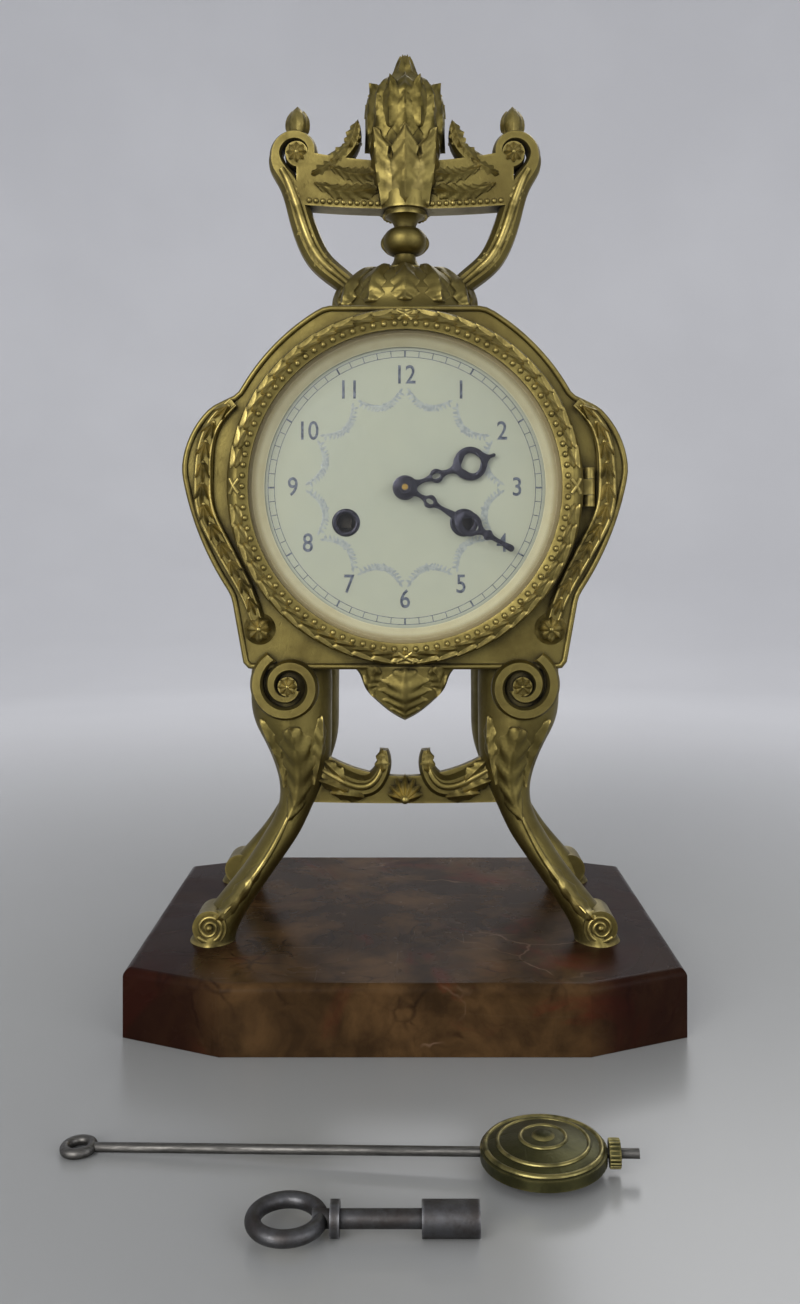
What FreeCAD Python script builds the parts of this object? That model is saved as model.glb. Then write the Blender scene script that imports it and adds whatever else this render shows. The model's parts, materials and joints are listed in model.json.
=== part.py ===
import FreeCAD, Part
import math
import os
from types import SimpleNamespace

import Sketcher

Vector = FreeCAD.Vector
UP = Vector(0, 0, 1)
BACK = Vector(0, 1, 0)
RIGHT = Vector(1, 0, 0)

# The frame: origin at the centre of the base's underside, +X right, +Y to the back, +Z up.
# The dial faces -Y. Depths are counted backwards along +Y, heights upwards along +Z.
SIZES = {
    # base slab
    "base_width": 164,
    "base_depth": 134,
    "base_height": 20,
    "base_cant_width": 30,
    "base_cant_depth": 13,
    "base_edge_round": 2.5,
    # screws that hold the legs to the base and to the case floor
    "screw_radius": 2,
    "screw_head_radius": 3.6,
    "screw_head_height": 2.4,
    "screw_length": 12.5,
    "screw_foot_grip": 7,
    "screw_slot_width": 0.8,
    "screw_slot_depth": 0.9,
    "screw_recess_clearance": 0.6,
    # fits
    "fit_clearance": 0.05,
    "part_gap": 0.3,
    # case
    "dial_height": 161,
    "case_front": 28,
    "case_back": 34,
    "panel_thickness": 3,
    "band_wall": 2.5,
    "case_half_width": 69,
    "case_top_half_width": 25,
    "case_floor_half_width": 49.5,
    "case_rise": 56,
    "case_drop": 56,
    "front_hole_radius": 50.5,
    "rear_hole_radius": 44,
    "pendulum_slot_half_width": 14,
    "pendulum_slot_depth": 12,
    # legs
    "leg_head_offset": 36.5,
    "leg_head_half_width": 13,
    "leg_head_setback": 11,
    "leg_head_half_depth": 10.5,
    # from the base's ends and front edge to the middles of the feet
    "foot_side_margin": 22,
    "foot_front_margin": 38,
    "foot_scroll_radius": 5.2,
    "foot_scroll_width": 13,
    "leg_volute_radius": 10.5,
    "leg_volute_drop": 6,
    "leg_volute_band": 4.2,
    "leg_volute_relief": 3.2,
    "leg_volute_eye": 3,
    # apron and pendant
    "apron_height": 17,
    "apron_rise": 38,
    "apron_thickness": 5,
    "apron_half_width": 34,
    "apron_scroll_band": 4,
    "pendant_half_width": 19,
    "pendant_height": 17.5,
    "pendant_thickness": 6,
    # shoulder scrolls
    "shoulder_relief": 2,
    "shoulder_band": 6.4,
    "shoulder_volute_radius": 5,
    # crest
    "dome_radius": 24,
    "dome_height": 18,
    "dome_top_radius": 8,
    "dome_shoulder_radius": 21.5,
    "baluster_height": 21,
    "baluster_radius": 7.5,
    "baluster_neck_radius": 3.6,
    "baluster_foot_radius": 7,
    "gallery_rail_height": 20,
    "gallery_half_span": 36.5,
    "gallery_thickness": 9,
    "gallery_band": 9,
    "gallery_volute_radius": 7.5,
    "gallery_volute_rise": 2.8,
    "gallery_bud_radius": 3.4,
    "gallery_bud_height": 11,
    "finial_height": 34.5,
    "finial_radius": 14,
    "finial_foot_radius": 9,
    "tie_rod_radius": 1.6,
    "tie_nut_radius": 4,
    "tie_nut_height": 3,
    # bezel, glass and hinges
    "seat_inner_radius": 48.5,
    "seat_outer_radius": 55,
    "seat_height": 2.5,
    "bezel_radius": 55,
    "bezel_height": 6.2,
    "bezel_rabbet_radius": 49.8,
    "bezel_lip_radius": 48.2,
    "bezel_lip_thickness": 1.6,
    "glass_thickness": 1.8,
    "glass_clearance": 0.1,
    "sight_flange_thickness": 1,
    "sight_outer_radius": 48,
    "sight_front_radius": 47.2,
    "sight_inner_radius": 44,
    "sight_dial_gap": 0.9,
    "hinge_offset": 57.3,
    "hinge_knuckle_radius": 1.6,
    "hinge_pin_radius": 0.8,
    "hinge_half_length": 6,
    "hinge_knuckle_half_length": 2.4,
    "hinge_end_gap": 0.2,
    "hinge_leaf_thickness": 1.4,
    # back door
    "back_door_radius": 47.5,
    "back_door_thickness": 1.5,
    "back_door_rim_width": 2.5,
    "back_door_rim_height": 3,
    "back_hinge_offset": 50.2,
    "sound_hole_radius": 2.6,
    "sound_hole_circle": 33,
    "back_knob_radius": 2.2,
    "back_knob_height": 4,
    # dial and hands
    "dial_radius": 49.5,
    "dial_thickness": 1.5,
    "dial_centre_hole": 2.8,
    "winding_hole_radius": 3.1,
    "dial_plate_radius": 53,
    "dial_plate_thickness": 1.5,
    "hand_thickness": 0.8,
    "hour_hand_length": 30,
    "hour_hand_lift": 1.2,
    "minute_hand_length": 39,
    "minute_hand_lift": 2.8,
    "hand_hub_radius": 3.4,
    "hand_width": 1.7,
    "hand_ring_radius": 3,
    "hand_nut_radius": 1.9,
    "hand_nut_height": 1.2,
    # movement frame
    "motion_gap": 5.5,
    "plate_radius": 40,
    "plate_thickness": 2,
    "plate_gap": 28,
    "pillar_radius": 2.2,
    "pillar_neck_radius": 1.4,
    "pillar_circle": 36,
    "pillar_end_height": 1.5,
    # arbors
    "arbor_radius": 0.9,
    "pivot_radius": 0.6,
    "fine_arbor_radius": 0.42,
    "fine_pivot_radius": 0.32,
    "arbor_end_shake": 0.15,
    "pinion_overhang": 0.3,
    # winding and great wheels
    "winding_spacing": 37,
    "winding_drop": 11,
    "barrel_radius": 15,
    "barrel_length": 17.4,
    "barrel_setback": 3.6,
    "great_module": 0.69,
    "great_thickness": 2.2,
    "winding_arbor_radius": 2,
    "winding_square": 3,
    "winding_square_length": 3,
    "ratchet_radius": 6.3,
    "ratchet_tooth": 0.9,
    "ratchet_thickness": 1.2,
    "click_gap": 0.2,
    "click_length": 9,
    "click_width": 2.2,
    # going train
    "intermediate_module": 0.51,
    "intermediate_setback": 1,
    "intermediate_thickness": 1.6,
    "centre_module": 0.315,
    "centre_setback": 25.2,
    "centre_thickness": 1.2,
    "third_module": 0.29,
    "third_setback": 17,
    "third_thickness": 1.2,
    "escape_radius": 7.5,
    "escape_tooth": 0.95,
    "escape_setback": 22,
    "escape_thickness": 1,
    "anchor_distance": 10.5,
    "anchor_clearance": 0.6,
    "anchor_width": 1.5,
    "crutch_length": 25,
    "crutch_width": 2,
    "crutch_thickness": 1,
    "crutch_standoff": 1,
    "crutch_pin_length": 4,
    # motion work
    "cannon_module": 0.75,
    "hour_module": 0.6,
    "motion_thickness": 1.4,
    "motion_clearance": 0.8,
    "motion_level_gap": 1.2,
    "centre_arbor_radius": 0.95,
    "cannon_pipe_radius": 1.6,
    "hour_pipe_radius": 2.4,
    # strike train
    "pin_wheel_module": 0.391,
    "pin_wheel_setback": 8,
    "pin_wheel_thickness": 1.2,
    "lifting_pin_radius": 0.45,
    "lifting_pin_length": 1.8,
    "lifting_pin_circle": 7.2,
    "locking_module": 0.381,
    "locking_setback": 13,
    "locking_thickness": 1.2,
    "fly_half_width": 3.9,
    "fly_length": 9.5,
    "fly_setback": 2.4,
    "fly_thickness": 0.5,
    "hammer_offset": 24.5,
    "hammer_rise": 29.5,
    "hammer_tail_length": 9,
    "hammer_tail_width": 1.6,
    "hammer_arm_width": 1.8,
    "hammer_arm_thickness": 1.5,
    "hammer_link_radius": 0.7,
    "hammer_standoff": 2,
    "hammer_head_radius": 2.2,
    "hammer_head_length": 5,
    "hammer_gap": 0.6,
    # bell and suspension
    "bell_radius": 22,
    "bell_height": 10,
    "bell_wall": 1.2,
    "bell_offset": 9,
    "bell_drop": 8,
    "bell_standoff": 6.5,
    "bell_crown_radius": 5,
    "bell_post_radius": 1.5,
    "bell_post_shoulder": 3,
    "bell_nut_height": 1.6,
    "cock_half_width": 5,
    "cock_thickness": 1.5,
    "cock_standoff": 2.6,
    "cock_foot_height": 2.6,
    "cock_foot_rise": 3,
    "cock_drop": 5,
    "chop_half_width": 2.6,
    "chop_thickness": 1.6,
    "chop_height": 3,
    "spring_length": 11,
    "spring_half_width": 1.5,
    "spring_thickness": 0.3,
    # pendulum, taken off and laid in front of the base
    "pendulum_gap": 50,
    "pendulum_hook_offset": 80,
    "pendulum_length": 112,
    "pendulum_rod_radius": 1.1,
    "pendulum_hook_radius": 3.2,
    "pendulum_hook_wire": 1.2,
    "bob_radius": 14.5,
    "bob_half_thickness": 4,
    "bob_edge_half_thickness": 1.2,
    "rating_nut_radius": 3,
    "rating_nut_length": 2.6,
    "rating_thread_length": 4.6,
    # winding key, laid in front of the pendulum
    "key_gap": 33,
    "key_offset": 15.5,
    "key_barrel_radius": 3.6,
    "key_barrel_length": 12,
    "key_socket_square": 3.2,
    "key_socket_depth": 8,
    "key_shank_radius": 1.9,
    "key_collar_radius": 3.6,
    "key_collar_length": 2,
    "key_length": 33,
    "key_bow_radius": 7,
    "key_bow_wire": 1.7,
    # one overrun for every cut
    "cut_overrun": 1,
}

# Teeth and leaves of the trains
GREAT_TEETH = 48
GREAT_PINION = 8
INTERMEDIATE_TEETH = 48
CENTRE_PINION = 8
CENTRE_TEETH = 72
THIRD_PINION = 6
THIRD_TEETH = 66
ESCAPE_PINION = 6
ESCAPE_TEETH = 38
CANNON_LEAVES = 8
MINUTE_TEETH = 24
MINUTE_PINION = 8
HOUR_TEETH = 32
PIN_TEETH = 48
LOCKING_PINION = 6
LOCKING_TEETH = 36
FLY_PINION = 6
RATCHET_TEETH = 20
LIFTING_PINS = 10
SOUND_HOLES = 12

# The hands show twenty past two: degrees clockwise from twelve
MINUTE_HAND_TURN = 120
HOUR_HAND_TURN = 70
PENDULUM_YAW = -4

# Directions, in degrees from +X towards +Z, in which the arbors follow each other
THIRD_TURN = 97.5
STRIKE_SECOND_TURN = 108
STRIKE_PIN_TURN = 35
STRIKE_LOCKING_TURN = 110
STRIKE_FLY_TURN = 30
PILLAR_TURNS = (35, 140, 240, 300)

doc = FreeCAD.newDocument("bronze_mantel_clock")
sheet = doc.addObject("Spreadsheet::Sheet", "sizes")
for row, (alias, number) in enumerate(SIZES.items(), 1):
    sheet.set(f"A{row}", alias.replace("_", " "))
    sheet.set(f"B{row}", str(number))
    sheet.setAlias(f"B{row}", alias)
doc.recompute()


class Cell:
    """A length of the sheet, or a sum of such lengths: a number and the expression that gives it."""

    def __init__(self, text, number):
        self.text = text
        self.number = number

    def joined(self, sign, other, number):
        text = other.text if isinstance(other, Cell) else repr(other)
        return Cell(f"({self.text} {sign} {text})", number)

    def __add__(self, other):
        return self.joined("+", other, self.number + float(other))

    def __sub__(self, other):
        return self.joined("-", other, self.number - float(other))

    def __mul__(self, other):
        return self.joined("*", other, self.number * float(other))

    def __truediv__(self, other):
        return self.joined("/", other, self.number / float(other))

    def __neg__(self):
        return Cell(f"(0 - {self.text})", -self.number)

    def __float__(self):
        return self.number


cell = SimpleNamespace(**{alias: Cell(f"sizes.{alias}", float(sheet.get(alias))) for alias in SIZES})
mm = SimpleNamespace(**{alias: float(sheet.get(alias)) for alias in SIZES})
ZERO = Cell("0", 0.0)


# Helpers: sketches whose corners are bound to the sheet

# A sketch edge's own points: where it starts, where it ends, and a round edge's centre
START, END, CENTRE = range(1, 4)


def new_body(label):
    body = doc.addObject("PartDesign::Body", label)
    body.Label = label
    return body


def new_sketch(body, name, plane, **offsets):
    """A sketch on one of the body's own planes; offsets x, y, z are cells in the sketch's directions."""
    sketch = body.newObject("Sketcher::SketchObject", name)
    support = next(item for item in body.Origin.OriginFeatures if item.Role == plane)
    sketch.AttachmentSupport = [(support, "")]
    sketch.MapMode = "FlatFace"
    for direction, offset in offsets.items():
        sketch.setExpression(f"AttachmentOffset.Base.{direction}", offset.text)
    return sketch


def pin_point(sketch, geometry, point, x, y):
    for kind, length in (("DistanceX", x), ("DistanceY", y)):
        index = sketch.addConstraint(Sketcher.Constraint(kind, -1, START, geometry, point, float(length)))
        sketch.setExpression(f"Constraints[{index}]", length.text)


def add_circle(sketch, x, y, radius):
    centre = Vector(float(x), float(y), 0)
    geometry = sketch.addGeometry(Part.Circle(centre, UP, float(radius)))
    pin_point(sketch, geometry, CENTRE, x, y)
    index = sketch.addConstraint(Sketcher.Constraint("Radius", geometry, float(radius)))
    sketch.setExpression(f"Constraints[{index}]", radius.text)


def add_outline(sketch, corners):
    """A closed outline. A corner is (x, y), or (x, y, middle) with the middle point of the arc to it."""
    flat = [Vector(float(corner[0]), float(corner[1]), 0) for corner in corners]
    first = None
    for number, corner in enumerate(corners):
        start = flat[number - 1]
        end = flat[number]
        if len(corner) == 3:
            middle = Vector(float(corner[2][0]), float(corner[2][1]), 0)
            arc = Part.Arc(start, middle, end)
            geometry = sketch.addGeometry(arc)
            forward = geometry_start(sketch, geometry).distanceToPoint(start) < mm.part_gap / 2
            end_point = END if forward else START
        else:
            geometry = sketch.addGeometry(Part.LineSegment(start, end))
            end_point = END
        if first is None:
            first = geometry
        pin_point(sketch, geometry, end_point, corner[0], corner[1])
        if number:
            sketch.addConstraint(Sketcher.Constraint("Coincident", previous, previous_end,
                                                     geometry, START + END - end_point))
        else:
            first_start = START + END - end_point
        previous = geometry
        previous_end = end_point
    sketch.addConstraint(Sketcher.Constraint("Coincident", previous, previous_end, first, first_start))


def geometry_start(sketch, geometry):
    return sketch.getPoint(geometry, START)


def add_pad(body, sketch, length, reverse=False):
    pad = body.newObject("PartDesign::Pad", sketch.Name + "_pad")
    pad.Profile = sketch
    pad.setExpression("Length", length.text)
    pad.Reversed = reverse
    return pad


def add_through_pocket(body, sketch):
    pocket = body.newObject("PartDesign::Pocket", sketch.Name + "_cut")
    pocket.Profile = sketch
    pocket.Type = "ThroughAll"
    pocket.Midplane = True
    return pocket


def add_turning(body, sketch, axis):
    turning = body.newObject("PartDesign::Revolution", sketch.Name + "_turning")
    turning.Profile = sketch
    turning.ReferenceAxis = (sketch, [axis])
    turning.Angle = 360
    return turning


def new_dial_axis_turning(label, corners):
    """A piece turned about the dial's axis; corners are (depth along Y, radius)."""
    body = new_body(label)
    sketch = new_sketch(body, label + "_profile", "YZ_Plane", y=cell.dial_height)
    add_outline(sketch, corners)
    add_turning(body, sketch, "H_Axis")
    return body


def new_upright_turning(label, corners, depth):
    """A piece turned about an upright axis in the plane X = 0; corners are (radius, height)."""
    body = new_body(label)
    sketch = new_sketch(body, label + "_profile", "XZ_Plane", z=-depth)
    add_outline(sketch, corners)
    add_turning(body, sketch, "V_Axis")
    return body


def add_shape(label, shape):
    piece = doc.addObject("Part::Feature", label)
    piece.Label = label
    piece.Shape = shape
    return piece


# Helpers: plain solids


def on_dial(x, depth, rise):
    """A point given from the dial's axis: to the right, backwards and upwards."""
    return Vector(x, depth, mm.dial_height + rise)


def rod(radius, start, end):
    return Part.makeCylinder(radius, (end - start).Length, start, end - start)


def block(low, high):
    span = high - low
    return Part.makeBox(span.x, span.y, span.z, low)


def fused(solids):
    shape = solids[0].fuse(solids[1:]) if len(solids) > 1 else solids[0]
    return shape.removeSplitter()


def mirrored(shape, normal, point=Vector(0, 0, 0)):
    return shape.mirror(point, normal)


# Heights of a tooth and of a leaf in shares of the module, and half their width in shares of the pitch
ROOT_SHARE = 1.45
TOOTH_TIP_SHARE = 1.15
LEAF_TIP_SHARE = 0.75
TOOTH_HALF_SHARE = 0.27
LEAF_HALF_SHARE = 0.17
LEAF_TOP_SHARE = 0.35


def gear(teeth, module, centre, thickness, turn, leaves=False):
    """A toothed disc about an axis along Y. A tooth points along turn, in radians from +X to +Z."""
    pitch_radius = teeth * module / 2
    pitch = 2 * math.pi / teeth
    root = pitch_radius - ROOT_SHARE * module
    if leaves:
        half = pitch * LEAF_HALF_SHARE
        tip = pitch_radius + LEAF_TIP_SHARE * module
        tooth = [(root, -half), (pitch_radius, -half), (tip, -half * LEAF_TOP_SHARE),
                 (tip, half * LEAF_TOP_SHARE), (pitch_radius, half), (root, half)]
    else:
        half = pitch * TOOTH_HALF_SHARE
        tooth = [(root, -half), (pitch_radius + TOOTH_TIP_SHARE * module, 0), (root, half)]
    corners = []
    for index in range(teeth):
        for radius, offset in tooth:
            angle = turn + index * pitch + offset
            corners.append(centre + Vector(radius * math.cos(angle), 0, radius * math.sin(angle)))
    corners.append(corners[0])
    return Part.Face(Part.makePolygon(corners)).extrude(BACK * thickness)


def spline(points):
    curve = Part.BSplineCurve()
    curve.interpolate(points)
    return curve


def scroll_wire(path, half_widths, place):
    """The closed outline of a band along a flat path. place turns (along, up) into a point in space."""
    left = []
    right = []
    for index, (along, up) in enumerate(path):
        before = path[max(index - 1, 0)]
        after = path[min(index + 1, len(path) - 1)]
        run = (after[0] - before[0], after[1] - before[1])
        length = math.hypot(*run)
        side = (-run[1] / length * half_widths[index], run[0] / length * half_widths[index])
        left.append(place(along + side[0], up + side[1]))
        right.append(place(along - side[0], up - side[1]))
    right.reverse()
    edges = [spline(left).toShape(), Part.makeLine(left[-1], right[0]),
             spline(right).toShape(), Part.makeLine(right[-1], left[0])]
    return Part.Wire(edges)


# Share of the way from a scroll's back to its front, and the share of its width that is left there
RAISED_SHARES = ((0.0, 1.0), (0.6, 0.92), (1.0, 0.55))
TWO_FACED_SHARES = ((0.0, 0.55), (0.2, 0.92), (0.5, 1.0), (0.8, 0.92), (1.0, 0.55))


def scroll(path, half_widths, back, front, layer_shares=RAISED_SHARES):
    """A cast scroll: a band whose flanks lean in towards its front, or towards both faces."""
    wires = []
    for depth_share, share in layer_shares:
        depth = back + (front - back) * depth_share
        widths = [width * share for width in half_widths]
        wires.append(scroll_wire(path, widths, lambda along, up, depth=depth: Vector(along, depth, up)))
    return Part.makeLoft(wires, True, True)


# Share of a volute's radius that is left at its inner end
VOLUTE_END_SHARE = 0.3


def volute(centre, radius, start, turns, end_share, steps):
    """Points of a spiral that winds in from radius to a share of it; angles in degrees."""
    points = []
    for step in range(steps + 1):
        share = step / steps
        angle = math.radians(start) + share * turns * 2 * math.pi
        reach = radius * (1 - (1 - end_share) * share)
        points.append((centre[0] + reach * math.cos(angle), centre[1] + reach * math.sin(angle)))
    return points


def bowed_strip(half_span, depth, low, high):
    """An upright face between two arcs, each given by its height at the ends and in the middle."""
    low_arc = Part.Arc(Vector(-half_span, depth, low[0]), Vector(0, depth, low[1]),
                       Vector(half_span, depth, low[0]))
    high_arc = Part.Arc(Vector(half_span, depth, high[0]), Vector(0, depth, high[1]),
                        Vector(-half_span, depth, high[0]))
    right_end = Part.makeLine(low_arc.EndPoint, high_arc.StartPoint)
    left_end = Part.makeLine(high_arc.EndPoint, low_arc.StartPoint)
    return Part.Face(Part.Wire([low_arc.toShape(), right_end, high_arc.toShape(), left_end]))


def tapered(count, start, middle, end):
    """Half widths along a band that swells from start to middle and shrinks to end."""
    widths = []
    for index in range(count):
        share = index / (count - 1)
        swell = math.sin(share * math.pi)
        widths.append(start * (1 - share) + end * share + (middle - (start + end) / 2) * swell)
    return widths


# Depths of the stack from the dial to the back door
panel_back = -mm.case_front + mm.panel_thickness
dial_front = panel_back - mm.dial_thickness
dial_plate_back = panel_back + mm.dial_plate_thickness
plate_front = dial_plate_back + mm.motion_gap
train_front = plate_front + mm.plate_thickness
train_back = train_front + mm.plate_gap
plate_back = train_back + mm.plate_thickness
rear_panel_front = mm.case_back - mm.panel_thickness
case_middle = (mm.case_back - mm.case_front) / 2
case_floor = mm.dial_height - mm.case_drop
case_top = mm.dial_height + mm.case_rise
head_y = mm.leg_head_setback - mm.case_front
foot_x = mm.base_width / 2 - mm.foot_side_margin
foot_y = mm.foot_front_margin - mm.base_depth / 2
pendulum_y = -mm.base_depth / 2 - mm.pendulum_gap
key_y = pendulum_y - mm.key_gap

panel_back_cell = cell.panel_thickness - cell.case_front
dial_plate_back_cell = panel_back_cell + cell.dial_plate_thickness
plate_front_cell = dial_plate_back_cell + cell.motion_gap
train_back_cell = plate_front_cell + cell.plate_thickness + cell.plate_gap
plate_back_cell = train_back_cell + cell.plate_thickness
case_middle_cell = (cell.case_back - cell.case_front) / 2
case_top_cell = cell.dial_height + cell.case_rise


# Arbors of the movement, as (x, rise) from the dial's axis


def step_from(point, distance, degrees):
    angle = math.radians(degrees)
    return (point[0] + distance * math.cos(angle), point[1] + distance * math.sin(angle))


def turn_to(point, other):
    return math.atan2(other[1] - point[1], other[0] - point[0])


def centre_distance(module, teeth, leaves):
    return module * (teeth + leaves) / 2


great_distance = centre_distance(mm.great_module, GREAT_TEETH, GREAT_PINION)
intermediate_distance = centre_distance(mm.intermediate_module, INTERMEDIATE_TEETH, CENTRE_PINION)
centre_place = (0.0, 0.0)
going_place = (mm.winding_spacing / 2, -mm.winding_drop)
strike_place = (-mm.winding_spacing / 2, -mm.winding_drop)
going_reach = math.hypot(*going_place)
going_lean = math.acos((going_reach ** 2 + intermediate_distance ** 2 - great_distance ** 2)
                       / (2 * going_reach * intermediate_distance))
intermediate_place = step_from(centre_place, intermediate_distance,
                               math.degrees(math.atan2(going_place[1], going_place[0]) + going_lean))
third_distance = centre_distance(mm.centre_module, CENTRE_TEETH, THIRD_PINION)
third_place = step_from(centre_place, third_distance, THIRD_TURN)
escape_distance = centre_distance(mm.third_module, THIRD_TEETH, ESCAPE_PINION)
escape_place = (0.0, third_place[1] + math.sqrt(escape_distance ** 2 - third_place[0] ** 2))
anchor_place = (0.0, escape_place[1] + mm.anchor_distance)
minute_wheel_place = (0.0, -centre_distance(mm.cannon_module, MINUTE_TEETH, CANNON_LEAVES))
second_place = step_from(strike_place, great_distance, STRIKE_SECOND_TURN)
pin_wheel_place = step_from(second_place, intermediate_distance, STRIKE_PIN_TURN)
locking_distance = centre_distance(mm.pin_wheel_module, PIN_TEETH, LOCKING_PINION)
locking_place = step_from(pin_wheel_place, locking_distance, STRIKE_LOCKING_TURN)
fly_distance = centre_distance(mm.locking_module, LOCKING_TEETH, FLY_PINION)
fly_place = step_from(locking_place, fly_distance, STRIKE_FLY_TURN)
hammer_place = (-mm.hammer_offset, mm.hammer_rise)
pillar_places = [step_from(centre_place, mm.pillar_circle, turn) for turn in PILLAR_TURNS]
bell_place = (mm.bell_offset, -mm.bell_drop)


# Base slab and the legs that stand on it


def make_base_slab():
    body = new_body("base_slab")
    half_width = cell.base_width / 2
    half_depth = cell.base_depth / 2
    flat_width = half_width - cell.base_cant_width
    flat_depth = half_depth - cell.base_cant_depth
    outline = new_sketch(body, "base_outline", "XY_Plane")
    add_outline(outline, [(flat_width, half_depth), (-flat_width, half_depth), (-half_width, flat_depth),
                          (-half_width, -flat_depth), (-flat_width, -half_depth), (flat_width, -half_depth),
                          (half_width, -flat_depth), (half_width, flat_depth)])
    slab = add_pad(body, outline, cell.base_height)
    doc.recompute()
    top_edges = [f"Edge{number}" for number, edge in enumerate(slab.Shape.Edges, 1)
                 if edge.BoundBox.ZMin > mm.base_height - mm.part_gap]
    rounded = body.newObject("PartDesign::Fillet", "base_top_round")
    rounded.Base = (slab, top_edges)
    rounded.setExpression("Radius", cell.base_edge_round.text)
    hole_sketch = new_sketch(body, "base_screw_holes", "XY_Plane")
    recess_sketch = new_sketch(body, "base_screw_recesses", "XY_Plane")
    recess_radius = cell.screw_head_radius + cell.screw_recess_clearance
    for side in (1, -1):
        x = (half_width - cell.foot_side_margin) * side
        for y in foot_depth_cells():
            add_circle(hole_sketch, x, y, cell.screw_radius + cell.fit_clearance)
            add_circle(recess_sketch, x, y, recess_radius)
    add_through_pocket(body, hole_sketch)
    recess = body.newObject("PartDesign::Pocket", "base_recess_cut")
    recess.Profile = recess_sketch
    recess.setExpression("Length", (cell.base_height + cell.screw_foot_grip - cell.screw_length).text)
    recess.Reversed = True


def foot_depth_cells():
    """Depth of the front and of the rear feet; the rear ones mirror the front ones in the case's middle."""
    front = cell.foot_front_margin - cell.base_depth / 2
    return front, case_middle_cell * 2 - front


# Height, spread from head to foot, width, forward reach and depth of a leg's sections
LEG_SHARES = (
    (1.000, 0.00, 0.97, 0.00, 0.94),
    (0.941, 0.00, 1.00, 0.00, 0.99),
    (0.882, 0.00, 1.00, 0.00, 1.00),
    (0.776, -0.03, 0.94, 0.00, 0.96),
    (0.682, -0.11, 0.78, 0.02, 0.80),
    (0.588, -0.14, 0.60, 0.05, 0.62),
    (0.494, -0.09, 0.45, 0.10, 0.52),
    (0.400, 0.05, 0.42, 0.22, 0.49),
    (0.306, 0.26, 0.42, 0.40, 0.48),
    (0.212, 0.51, 0.43, 0.60, 0.50),
    (0.118, 0.77, 0.47, 0.80, 0.56),
    (0.000, 1.00, 0.54, 1.00, 0.66),
)
LEG_SECTION_POINTS = 12
LEG_RIDGE_SHARE = 0.14
LEG_RIDGE_SHARPNESS = 6
LEG_VOLUTE_START = 60
LEG_VOLUTE_TURNS = -1.6
LEG_VOLUTE_STEPS = 20


def leg_section(shares):
    height_share, spread_share, width_share, forward_share, depth_share = shares
    x = mm.leg_head_offset + (foot_x - mm.leg_head_offset) * spread_share
    y = head_y + (foot_y - head_y) * forward_share
    z = mm.base_height + (case_floor - mm.base_height) * height_share
    points = []
    for index in range(LEG_SECTION_POINTS):
        angle = 2 * math.pi * index / LEG_SECTION_POINTS
        ridge = 1 + LEG_RIDGE_SHARE * max(0.0, -math.sin(angle)) ** LEG_RIDGE_SHARPNESS
        points.append(Vector(x + mm.leg_head_half_width * width_share * math.cos(angle),
                             y + mm.leg_head_half_depth * depth_share * math.sin(angle) * ridge, z))
    curve = Part.BSplineCurve()
    curve.interpolate(points, PeriodicFlag=True)
    return Part.Wire(curve.toShape())


def leg_shape():
    """The front right leg: a lofted cabriole stem, a volute on its head and a rolled toe."""
    stem = Part.makeLoft([leg_section(shares) for shares in LEG_SHARES], True, False)
    toe_height = mm.base_height + mm.foot_scroll_radius + mm.part_gap
    toe_start = Vector(foot_x, foot_y - mm.foot_scroll_width / 2, toe_height)
    toe = rod(mm.foot_scroll_radius, toe_start, toe_start + BACK * mm.foot_scroll_width)
    centre = (mm.leg_head_offset, case_floor - mm.leg_volute_drop)
    path = volute(centre, mm.leg_volute_radius, LEG_VOLUTE_START, LEG_VOLUTE_TURNS, VOLUTE_END_SHARE,
                  LEG_VOLUTE_STEPS)
    widths = tapered(len(path), mm.leg_volute_band / 2, mm.leg_volute_band / 2, mm.leg_volute_band / 4)
    front = -mm.case_front - mm.leg_volute_relief
    spiral = scroll(path, widths, -mm.case_front, front)
    eye_start = Vector(centre[0], head_y, centre[1])
    eye = rod(mm.leg_volute_eye, eye_start, Vector(centre[0], front, centre[1]))
    leg = fused([stem, toe, spiral, eye])
    foot_screw = Vector(foot_x, foot_y, mm.base_height - mm.cut_overrun)
    hole_radius = mm.screw_radius + mm.fit_clearance
    foot_hole = rod(hole_radius, foot_screw, foot_screw + UP * (mm.screw_foot_grip + mm.cut_overrun))
    head_screw = Vector(mm.leg_head_offset, head_y, case_floor + mm.cut_overrun)
    head_depth = mm.screw_length - mm.band_wall + mm.cut_overrun
    head_hole = rod(hole_radius, head_screw, head_screw - UP * head_depth)
    return leg.cut([foot_hole, head_hole])


def make_legs():
    right = leg_shape()
    middle = Vector(0, case_middle, 0)
    for side, shape in (("right", right), ("left", mirrored(right, RIGHT))):
        add_shape(f"front_{side}_leg", shape)
        add_shape(f"rear_{side}_leg", mirrored(shape, BACK, middle))


def screw_shape(top, direction):
    """A slotted screw whose head seats at the point top and whose shank runs along direction."""
    shank = rod(mm.screw_radius, top, top + direction * mm.screw_length)
    head = rod(mm.screw_head_radius, top, top - direction * mm.screw_head_height)
    half_slot = Vector(mm.screw_head_radius, mm.screw_slot_width / 2, 0)
    slot_floor = top - direction * (mm.screw_head_height - mm.screw_slot_depth)
    slot_roof = top - direction * mm.screw_head_height
    low = min(slot_floor.z, slot_roof.z)
    high = max(slot_floor.z, slot_roof.z)
    slot = block(Vector(top.x, top.y, low) - half_slot, Vector(top.x, top.y, high) + half_slot)
    return fused([shank, head]).cut(slot)


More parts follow.
